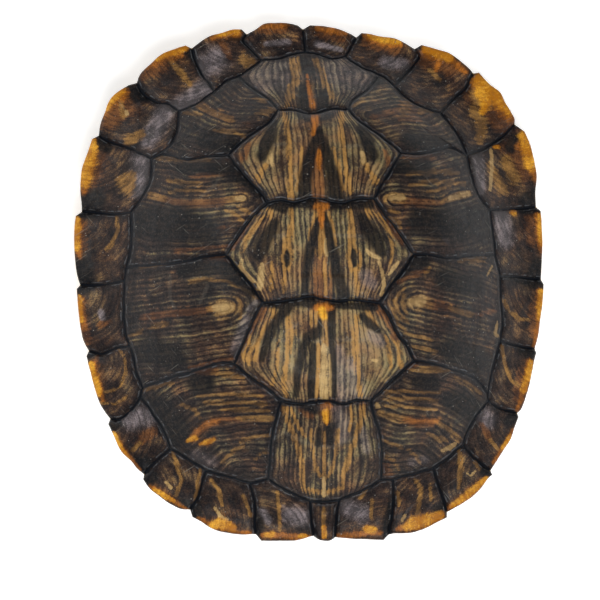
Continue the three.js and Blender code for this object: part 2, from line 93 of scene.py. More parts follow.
left_seams = {
    "rim0 rim1": [(-4.6, -49.8), (-7.8, -49.8), (-11.2, -49.7)],
    "rim1 rim2": [(-14.8, -48.4), (-17.6, -48), (-20.4, -47.2), (-22.8, -45.6), (-24.2, -44.8)],
    "rim2 rim3": [(-26.4, -43.2), (-28.4, -42.2), (-30.2, -40.8), (-32, -39.4), (-33.4, -37.4)],
    "rim3 rim4": [(-34.4, -35.4), (-35.6, -33.8), (-37.4, -32), (-38.6, -29.4), (-39.8, -26.6)],
    "rim4 rim5": [(-40.4, -24.2), (-41.4, -22.4), (-42.2, -19.8), (-43, -16.6), (-43.7, -13.4)],
    "rim5 rim6": [(-44, -11), (-44.6, -8.8), (-45, -5.4), (-45.2, -2.6), (-45.3, -0.4)],
    "rim6 rim7": [(-45, 1.6), (-45.4, 4.2), (-45.6, 7.6), (-45.5, 11.2), (-45.2, 13.8)],
    "rim7 rim8": [(-44, 16.2), (-44.2, 18.8), (-43.8, 23), (-42.8, 25.8), (-41.7, 28.8)],
    "rim8 rim9": [(-40, 31.8), (-39.2, 33.8), (-38, 36.6), (-36.4, 38), (-34.4, 39.2)],
    "rim9 rim10": [(-32.2, 41.2), (-30.2, 43.2), (-27.8, 45.2), (-25.2, 46.2), (-23.2, 46.8)],
    "rim10 rim11": [(-20.4, 47.4), (-18.4, 48.6), (-16, 49.2), (-14, 49.8), (-12.2, 49.8)],
    "rim11 rim12": [(-9.4, 49.8), (-7.8, 50.8), (-5.4, 51), (-2.6, 50.8), (-1.2, 50.4)],
    "rim1 cost1": [(-12.4, -45.8), (-12.4, -42.4)],
    "rim2 cost2": [(-23.2, -41.2), (-22.2, -38)],
    "rim3 cost3": [(-31.2, -34.4)],
    "rim4 cost4": [(-37.8, -25.8), (-35.8, -24.6)],
    "rim5 cost5": [(-40.8, -13.2), (-38.2, -12.4)],
    "rim6 cost6": [(-40.8, 0)],
    "rim7 cost7": [(-42, 14.4), (-38.6, 13.6)],
    "rim8 cost8": [(-38.6, 28.2), (-34, 26)],
    "rim9 cost9": [(-31.6, 37.4), (-29.2, 35.4), (-26.8, 34.6)],
    "rim10 cost10": [(-21.4, 44), (-20.6, 41.6)],
    "rim11 cost11": [(-12, 47.6), (-10.8, 46)],
    "rim0 cost0": [(-1.6, -46.2)],
    "v0 cost0": [(-7.4, -40), (-5.2, -41.2)],
    "v0 v12": [(-9.8, -35.4), (-9.6, -31.2), (-9, -28)],
    "v12 v2": [(-10.4, -22.6), (-13.4, -20.4)],
    "v2 v23": [(-15, -14.4), (-13.8, -12), (-12.4, -9.2)],
    "v23 v3": [(-12.8, -4.4), (-15.4, -0.8)],
    "v3 v34": [(-14.8, 6.2), (-12.8, 8.8)],
    "v34 v4": [(-11, 13.6), (-13.8, 17.2)],
    "v4 v45": [(-14, 24), (-10.4, 26.6), (-8.4, 28.2)],
    "v45 v5": [(-8.2, 33.4), (-11, 36.4)],
    "v5 cost11": [(-10.8, 41.2)],
    "cost11 cost12": [(-5.2, 43.2), (-1.8, 44.4)],
    "cost1 cost2": [(-17.6, -37.6)],
    "cost2 cost3": [(-25.2, -33.8)],
    "cost3 cost4": [(-29.4, -28.8), (-31.6, -25)],
    "p12 cost5": [(-34.4, -16.8)],
    "cost5 cost6": [(-36.2, -10.2), (-36.4, -3.6)],
    "p23 cost7": [(-34.8, 6.6), (-34.6, 10)],
    "cost7 cost8": [(-32.4, 16), (-30.8, 19.2)],
    "cost8 cost9": [(-27, 25.4), (-25.6, 28.6)],
    "cost9 cost10": [(-21.6, 34)],
    "cost10 v5": [(-16.6, 37.8), (-15.2, 38.8)],
    "p12 v2": [(-28.4, -19.2), (-23.6, -18.4), (-19, -17.4)],
    "p23 v3": [(-31.4, 2.2), (-26, 1.8), (-21.4, 2.2)],
    "cost8 v4": [(-28, 23.8), (-24, 21.8), (-19.8, 21.8)],
}
right_seams = {
    "rim0 rim1": [(6.2, -49.8), (9.4, -50), (12.2, -50.2)],
    "rim1 rim2": [(14.2, -49), (17, -49), (19.8, -48.4), (22.4, -47.2), (24.6, -46.2)],
    "rim2 rim3": [(25.8, -44.6), (29, -42.8), (31.4, -40.8), (32.8, -39), (33.7, -38.2)],
    "rim3 rim4": [(34.4, -36), (36.2, -33.4), (37.6, -31.4), (38.6, -28.8), (39.3, -27.2)],
    "rim4 rim5": [(39.8, -25.8), (41, -23), (42, -19.8), (42.8, -16.4), (43.3, -14.8)],
    "rim5 rim6": [(43.8, -11.4), (44.4, -8.2), (45, -4.6), (45.3, -1.4)],
    "rim6 rim7": [(45, 2), (45.4, 6.6), (45.4, 10.8), (45.3, 13)],
    "rim7 rim8": [(44.4, 16.8), (44.8, 20), (44.4, 23), (43.8, 26), (42.7, 28.8)],
    "rim8 rim9": [(40.8, 31.4), (39, 34.8), (38.2, 36.6), (36, 38.4), (34.1, 40.6)],
    "rim9 rim10": [(32.4, 41.2), (30.2, 43.2), (28.2, 44.6), (25.6, 45.4), (23, 46.2)],
    "rim10 rim11": [(20, 46.4), (17.6, 47.6), (14.8, 48), (12.6, 48.6), (11.2, 48.7)],
    "rim11 rim12": [(9, 48.6), (6.6, 49.6), (3.8, 50.2), (1.2, 50.4)],
    "rim1 cost1": [(14, -45.6), (14, -41.8)],
    "rim2 cost2": [(23.6, -41.8)],
    "rim3 cost3": [(29.6, -34.6)],
    "rim4 cost4": [(35.4, -25.6)],
    "rim5 cost5": [(39.8, -13.6)],
    "rim6 cost6": [(39.4, -0.2)],
    "rim7 cost7": [(41, 13.4)],
    "rim8 cost8": [(36.4, 26.4)],
    "rim9 cost9": [(31.2, 37.4), (28.2, 34.6)],
    "rim10 cost10": [(22.6, 44.2), (21, 41.8)],
    "rim0 cost0": [(3.2, -45.6)],
    "v0 cost0": [(8.8, -40.6), (6, -41.6)],
    "v0 v12": [(11.4, -35), (10.6, -30.8), (9.4, -27.8)],
    "v12 v2": [(10.6, -23.4), (14.2, -20.2)],
    "v2 v23": [(15.2, -15), (13.6, -13.2), (11.8, -9.6)],
    "v23 v3": [(12, -5), (14.8, -1.8)],
    "v3 v34": [(14.6, 5.4), (11.8, 9.2)],
    "v34 v4": [(11.6, 14.8), (13.8, 18)],
    "v4 v45": [(13.4, 23.8), (9.8, 26.8), (8, 28.4)],
    "v45 v5": [(7.6, 32.6), (10.6, 35)],
    "v5 cost11": [(10.6, 41)],
    "cost11 cost12": [(4.8, 43), (2, 44.2)],
    "cost1 cost2": [(18, -38)],
    "cost2 cost3": [(24.4, -35.2)],
    "cost3 cost4": [(28.6, -30.2), (30.4, -27.2)],
    "p12 cost5": [(33.6, -18.6)],
    "cost5 cost6": [(36, -9.4), (35.8, -4.8)],
    "p23 cost7": [(34.6, 6.6)],
    "cost7 cost8": [(32, 14.4), (30.6, 18.4)],
    "cost8 cost9": [(28.6, 26.8)],
    "cost9 cost10": [(20.8, 32.6), (18.2, 34.4)],
    "cost10 v5": [(15.4, 38.2)],
    "p12 v2": [(29.8, -20.4), (25, -19.2), (20, -18.2)],
    "p23 v3": [(29.4, 2.4), (24.6, 1.4), (20.4, 1.6)],
    "cost8 v4": [(26.4, 23.8), (23.2, 22.6), (19.4, 21.4)],
}
# Seams that cross the middle of the back, from left to right.
cross_seams = {
    "v12": [(-4.4, -25.4), (-2, -25.2), (0.8, -25), (3.8, -25.6), (5.8, -25)],
    "v23": [(-8.2, -7), (-5.2, -6.6), (-2.4, -6.2), (-0.4, -6.8), (3, -7.2), (5.4, -7)],
    "v34": [(-7.6, 12), (-4.6, 11.6), (-1.8, 12.2), (0, 12), (3.6, 11.2), (7.4, 12)],
    "v45": [(-4, 30.6), (-0.6, 29.4), (4, 30.6)],
    "cost0": [(0.6, -42.8)],
    "rim0": [(-0.2, -49.8), (1.8, -50)],
}
plans = {"l": (left, left_seams), "r": (right, right_seams)}
EDGE_OF_BONE = (
    "l cost0 v0 cost1 cost2 cost3 cost4 p12 cost5 cost6 p23 cost7 cost8 cost9 cost10 v5 cost11 cost12 "
    "r cost12 cost11 v5 cost10 cost9 cost8 cost7 p23 cost6 cost5 p12 cost4 cost3 cost2 cost1 v0 cost0"
)


def smooth(start, end, value):
    t = min(max((value - start) / (end - start), 0), 1)
    return t * t * (3 - 2 * t)


def mix(a, b, share):
    return a + (b - a) * share


def place(x, y, z):
    """A point of the plan, in metres, where the frame has it."""
    return Vector((x - MAP_MIDDLE[0], y - MAP_MIDDLE[1], z)) * MM


def reach(x, y):
    """0 at the crown, 1 on the smooth oval of the edge."""
    across = abs(x / HALF_WIDTH) ** OVAL_POWER
    along = abs(y / HALF_LENGTH) ** OVAL_POWER
    return (across + along) ** (1 / OVAL_POWER)


def ridge(x, y):
    """Low ridge along the middle of the back."""
    side = max(0, 1 - (x / RIDGE_HALF_WIDTH) ** 2) ** 2
    return side * smooth(-RIDGE_END, -RIDGE_FULL, y) * (1 - smooth(RIDGE_FULL, RIDGE_END, y))


def dome(x, y):
    """Height of the upper shell over the plan, without its seams."""
    out = min(reach(x, y), FLARE_END)
    lift = RIM_LIFT_FRONT * min(max(-y / HALF_LENGTH, 0), 1) ** 2
    lift += RIM_LIFT_REAR * min(max(y / HALF_LENGTH, 0), 1) ** 2
    bell = (1 + math.cos(math.pi * min(out, 1) ** SHOULDER)) / 2
    rise = DOME_RISE * ((1 - FLARE) * bell + FLARE * (1 - out))
    return RIM_HEIGHT + lift + rise + RIDGE_HEIGHT * ridge(x, y)


def wall(x, y):
    """Thickness of bone and horn together."""
    return mix(WALL, EDGE_WALL, smooth(WALL_THINS_FROM, 1, reach(x, y)))


def ground_face(x, y):
    """Height of the lower shell's outer face: level, with bridges that rise at the sides."""
    rise = BRIDGE_RISE * smooth(FLAT_HALF_WIDTH, BRIDGE_REACH, abs(x))
    return rise + LOBE_LIFT * (max(0, LOBE_START - y) / LOBE_REACH) ** 2


def inner_face(x, y):
    share = smooth(FLAT_HALF_WIDTH, BRIDGE_REACH, abs(x))
    return ground_face(x, y) + mix(FLOOR_WALL, BRIDGE_WALL, share)


def curve(points, waver=SEAM_WAVER):
    """Points SEAM_STEP apart on a smooth wavering curve, from the first point to before the last."""
    points = [Vector(p) for p in points]
    ends = [2 * points[0] - points[1]] + points + [2 * points[-1] - points[-2]]
    line = []
    for a, b, c, d in zip(ends, ends[1:], ends[2:], ends[3:]):
        t1 = math.sqrt((b - a).length)
        t2 = t1 + math.sqrt((c - b).length)
        t3 = t2 + math.sqrt((d - c).length)
        count = max(1, round((c - b).length / SEAM_STEP))
        for k in range(count):
            t = mix(t1, t2, k / count)
            p = a.lerp(b, t / t1)
            q = b.lerp(c, (t - t1) / (t2 - t1))
            r = c.lerp(d, (t - t2) / (t3 - t2))
            p, r = p.lerp(q, t / t2), q.lerp(r, (t - t1) / (t3 - t1))
            line.append(p.lerp(r, (t - t1) / (t2 - t1)))
    for p in line:
        hold = smooth(0, STEADY_END, min((p - points[0]).length, (p - points[-1]).length))
        shift = noise.noise_vector((p.x * BROAD_WAVER, p.y * BROAD_WAVER, 4))
        shift += noise.noise_vector((p.x * TIGHT_WAVER, p.y * TIGHT_WAVER, 9)) * TIGHT_SHARE
        p += shift.xy * waver * hold
    return line


@functools.cache
def seam(side, start, end):
    """All points of a seam, ends included, in the direction that the plan gives it."""
    if side == "across":
        return curve([left[start], *cross_seams.get(start, []), right[start]]) + [Vector(right[start])]
    corners, seams = plans[side]
    points = [corners[start], *seams.get(f"{start} {end}", []), corners[end]]
    if start.startswith("rim") and end.startswith("rim"):
        # the edge runs smoothly to its tooth and from there straight into the notch
        return curve(points[:-1], RIM_WAVER) + curve(points[-2:], 0) + [Vector(points[-1])]
    return curve(points) + [Vector(points[-1])]


def outline(path):
    """Points of a closed outline, anticlockwise, and for each whether it lies on the rim."""
    stops, side = [], ""
    for word in path.split():
        if word in plans:
            side = word
        else:
            stops.append((side, word))
    points = []
    for (side, start), (next_side, end) in zip(stops, stops[1:] + stops[:1]):
        seams = plans[side][1]
        if side != next_side and plans[side][0][start] == plans[next_side][0][start]:
            continue
        if side != next_side:
            line = seam("across", start, start)[::1 if side == "l" else -1]
        elif f"{start} {end}" in seams or (f"{end} {start}" not in seams and start < end):
            line = seam(side, start, end)
        else:
            line = seam(side, end, start)[::-1]
        if (line[0] - line[-1]).length > 0.01:
            rim = (start[:3] + end[:3] == "rimrim" or start[0] + end[0] == "ee"
                   or f"{start} {end}" in ("m0 e1", "e5 m6"))
            points += [(p.x, p.y, rim or (k == 0 and start.startswith("rim")))
                       for k, p in enumerate(line[:-1])]
    turned = sum(a[0] * b[1] - b[0] * a[1] for a, b in zip(points, points[1:] + points[:1]))
    return points if turned > 0 else points[::-1]


def distance(x, y, points):
    """Distance in mm from a point to a line through the points."""
    best = math.inf
    for (ax, ay), (bx, by) in zip(points, points[1:]):
        dx, dy = bx - ax, by - ay
        t = min(max(((x - ax) * dx + (y - ay) * dy) / (dx * dx + dy * dy), 0), 1)
        best = min(best, math.hypot(x - ax - t * dx, y - ay - t * dy))
    return best


def nearest(points, rim):
    """A function for the distance in mm from a point to the rim of an outline, or to its seams."""
    sides = [(a[:2], b[:2]) for a, b in zip(points, points[1:] + points[:1]) if (a[2] and b[2]) == rim]
    tree = kdtree.KDTree(len(sides))
    for k, ((ax, ay), (bx, by)) in enumerate(sides):
        tree.insert(((ax + bx) / 2, (ay + by) / 2, 0), k)
    tree.balance()

    def find(x, y):
        near = [distance(x, y, sides[k]) for _, k, _ in tree.find_n((x, y, 0), 3)]
        return min(near, default=FAR)

    return find


def rings(points, insets, step):
    """Rings of an outline that shrink to its middle: at the given insets in mm, then about a step
    apart. Each is a list of (x, y, seam gap, rim gap, share of the way in)."""
    count = len(points)
    mx, my = sum(p[0] for p in points) / count, sum(p[1] for p in points) / count
    turned = length = 0
    for a, b in zip(points, points[1:] + points[:1]):
        turned += a[0] * b[1] - b[0] * a[1]
        length += math.hypot(a[0] - b[0], a[1] - b[1])
    depth = turned / length  # about how far the middle lies from the seams
    fit = min(1, BORDER_SHARE * depth / insets[-1])
    more = max(2, round((depth - insets[-1] * fit) / step))
    shares = [d * fit / depth for d in insets]
    shares += [mix(shares[-1], 1, k / more) for k in range(1, more + 1)]
    seam_gap, rim_gap = nearest(points, False), nearest(points, True)
    out = []
    for share in shares[:-1]:
        ring = [(mix(p[0], mx, share), mix(p[1], my, share)) for p in points]
        out.append([(x, y, seam_gap(x, y), rim_gap(x, y), share) for x, y in ring])
    return out + [[(mx, my, seam_gap(mx, my), rim_gap(mx, my), 1)]]


def solid(mesh, back, front, write):
    """A closed solid over one outline. back and front are rings of (point, note) pairs that start at
    the seam. A last ring of one pair closes that side on its middle."""
    whole = mesh.faces.new([mesh.verts.new(point) for point, _ in back[0]])
    order = {vert: i for i, vert in enumerate(whole.verts)}
    for vert, i in order.items():
        write(vert, back[0][i][1])
    for side in (front, back[1:]):
        face = whole
        for ring in side:
            if len(ring) == 1:
                middle = bmesh.ops.poke(mesh, faces=[face])["verts"][0]
                middle.co = ring[0][0]
                write(middle, ring[0][1])
                continue
            grown = bmesh.ops.extrude_face_region(mesh, geom=[face])["geom"]
            top = next(item for item in grown if isinstance(item, bmesh.types.BMFace))
            twins = {old.co.copy().freeze(): order[old] for old in face.verts}
            for new in top.verts:
                order[new] = twins[new.co.copy().freeze()]
                new.co = ring[order[new]][0]
                write(new, ring[order[new]][1])
            if side is not front or face is not whole:
                bmesh.ops.delete(mesh, geom=[face], context="FACES_ONLY")
            face = top


def finish_piece(mesh, name, material):
    """Makes the mesh an object that rides on the shell and stands for its solid."""
    bmesh.ops.recalc_face_normals(mesh, faces=mesh.faces)
    data = bpy.data.meshes.new(name)
    mesh.to_mesh(data)
    mesh.free()
    data.polygons.foreach_set("use_smooth", [True] * len(data.polygons))
    data.set_sharp_from_angle(angle=SHARP_EDGE)
    data.materials.append(material)
    piece = bpy.data.objects.new(name, data)
    bpy.context.scene.collection.objects.link(piece)
    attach(piece, "root")
    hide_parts("turtle_shell")


def shade(code):
    """The colour that an sRGB hex code names, as linear red, green, blue and alpha."""
    parts = [int(code[k:k + 2], 16) / 255 for k in (1, 3, 5)]
    return (*[c / 12.92 if c <= 0.04045 else ((c + 0.055) / 1.055) ** 2.4 for c in parts], 1)


def add(tree, kind, inputs=None, **settings):
    """Adds a node. inputs holds numbers, colours or other nodes' outputs by the input they go to."""
    made = tree.nodes.new(kind)
    for key, value in settings.items():
        setattr(made, key, value)
    for key, value in (inputs or {}).items():
        if isinstance(value, bpy.types.NodeSocket):
            tree.links.new(value, made.inputs[key])
        else:
            made.inputs[key].default_value = value
    return made


def set_ramp(ramp, stops):
    """Puts the colours of a colour ramp at their places, given as {place: hex code}."""
    colours = ramp.color_ramp.elements
    while len(colours) < len(stops):
        colours.new(0.5)
    for stop, (at, code) in zip(colours, stops.items()):
        stop.position, stop.color = at, shade(code)
    return ramp


def new_material(name):
    """An empty material with its shader, and Object coordinates in millimetres."""
    material = bpy.data.materials.new(name)
    material.use_nodes = True
    tree = material.node_tree
    at = add(tree, "ShaderNodeTexCoord").outputs["Object"]
    mm = add(tree, "ShaderNodeVectorMath", {0: at, "Scale": 1 / MM}, operation="SCALE").outputs[0]
    return material, tree, tree.nodes["Principled BSDF"], mm


# Dry bone: matte ivory, a little yellower in its pits. Pores are 0.2 to 0.5 mm wide.
bone, tree, shader, mm = new_material("dry shell bone, matte and porous")
pores = add(tree, "ShaderNodeTexNoise", {"Vector": mm, "Scale": 2.4, "Detail": 5, "Roughness": 0.7})
stain = add(tree, "ShaderNodeTexNoise", {"Vector": mm, "Scale": 0.16, "Detail": 3})
both = add(tree, "ShaderNodeMath", {0: pores.outputs["Fac"], 1: 0.45, 2: stain.outputs["Fac"]},
           operation="MULTIPLY_ADD")
ivory = add(tree, "ShaderNodeValToRGB", {"Fac": both.outputs[0]})
set_ramp(ivory, {0.45: "#8f7c5c", 0.65: "#c3b28f", 0.85: "#ddd0b3"})
tree.links.new(ivory.outputs["Color"], shader.inputs["Base Color"])
shader.inputs["Roughness"].default_value = 0.75
dents = add(tree, "ShaderNodeBump", {"Height": pores.outputs["Fac"], "Strength": 0.5, "Distance": 0.12 * MM})
tree.links.new(dents.outputs["Normal"], shader.inputs["Normal"])

BONE_GAP = 0.75  # depth of the bone's outer face below the horn's
BONE_EVERY, BONE_INSETS, BONE_STEP = 3, (0, 1.5), 3  # the smooth bone needs one seam point in three
mesh = bmesh.new()
levels = rings(outline(EDGE_OF_BONE)[::BONE_EVERY], BONE_INSETS, BONE_STEP)


def bone_rings(height):
    return [[(place(x, y, height(x, y)), None) for x, y, *_ in level] for level in levels]


solid(mesh, bone_rings(lambda x, y: dome(x, y) - WALL), bone_rings(lambda x, y: dome(x, y) - BONE_GAP),
      lambda vert, note: None)

# Plan of the lower shell, right half, and its mirror image. m are corners on the middle line, e the
# corners on its edge.
lower_right = {
    "m0": (0, -45.6), "m1": (0, -37), "m2": (0, -28.4), "m3": (0, -13.6), "m4": (0, 9.4),
    "m5": (0, 23.6), "m6": (0, 42), "e1": (11.6, -42.4), "e2": (20.6, -29), "e3": (BRIDGE_REACH, -8.4),
    "e4": (23, 18), "e5": (21.4, 31),
}
lower_right_seams = {
    "m0 e1": [(4.4, -46.2), (8.8, -45)],
    "e1 e2": [(15.6, -38.4), (18.8, -33.6)],
    "e2 e3": [(22.4, -24.8), (26.4, -22), (32.6, -20.4), (39.6, -20), (41, -14)],
    "e3 e4": [(BRIDGE_REACH, 2), (41, 12), (39.4, 14.6), (32.4, 14.2), (26.6, 15.4)],
    "e4 e5": [(23.6, 23), (23, 27.4)],
    "e5 m6": [(18.6, 36.6), (13.6, 42), (7.4, 45.6), (3, 45.2)],
    "e1 m1": [(5.6, -40)],
    "e2 m2": [(10.4, -28)],
    "e3 m3": [(30, -10), (14, -12.6)],
    "e4 m4": [(12, 13.4)],
    "e5 m5": [(10.6, 28.6)],
}
lower_left = {key: (-x, y) for key, (x, y) in lower_right.items()}
lower_left_seams = {key: [(-x, y) for x, y in points] for key, points in lower_right_seams.items()}
plans["lr"], plans["ll"] = (lower_right, lower_right_seams), (lower_left, lower_left_seams)
levels = rings(outline("lr m0 e1 e2 e3 e4 e5 m6 ll m6 e5 e4 e3 e2 e1 m0")[::BONE_EVERY], BONE_INSETS,
               BONE_STEP)
solid(mesh, bone_rings(inner_face), bone_rings(lambda x, y: ground_face(x, y) + BONE_GAP),
      lambda vert, note: None)
finish_piece(mesh, "bone_lining", bone)

# ---- Plates along the back -----------------------------------------------------------------------
# Five broad plates of horn, 0.8 mm thick, that grow on the bone from a seam all round. Each carries a
# low keel, a ledge where growth paused, and fine lines that run with its sides.
GROOVE_DEPTH, GROOVE_REACH = 0.42, 0.6
PLATE_CROWN, CROWN_POWER = 0.7, 1.6
KNOB_HEIGHT, KNOB_RISE, KNOB_FALL = 0.7, (0.3, 0.8), (0.86, 1)  # shares of a plate from front to rear
LEDGE_START, LEDGE_END, LEDGE_FADE, LEDGE_DROP = 0.46, 0.51, 0.6, 0.14
RIM_ROUND, RIM_FALL = 0.65, 0.85
TOP_INSETS, TOP_STEP = (0, 0.12, 0.26, 0.42, 0.62, 0.9, 1.3, 1.9), 0.45
HIDDEN_INSETS, HIDDEN_STEP = (0, 2), 4
UNPAINTED = -2.0  # depth in a stroke of a spot well outside it
ROWS, ROW_REACH, ROW_MARGIN = 24, 0.9, 1  # where the width of a back plate is taken
BEND_FROM, BEND_TO = 0.25, 0.9  # shares of its half width over which the lines come to follow its sides
FIELDS = ("sheen", "rust", "tan", "hair", "cream", "black", "orange", "gold")
back_paths = {
    "V1": "l cost0 v0 v12 r v12 v0 cost0",
    "V2": "l v12 v2 v23 r v23 v2 v12",
    "V3": "l v23 v3 v34 r v34 v3 v23",
    "V4": "l v34 v4 v45 r v45 v4 v34",
    "V5": "l v45 v5 cost11 cost12 r cost12 cost11 v5 v45",
}
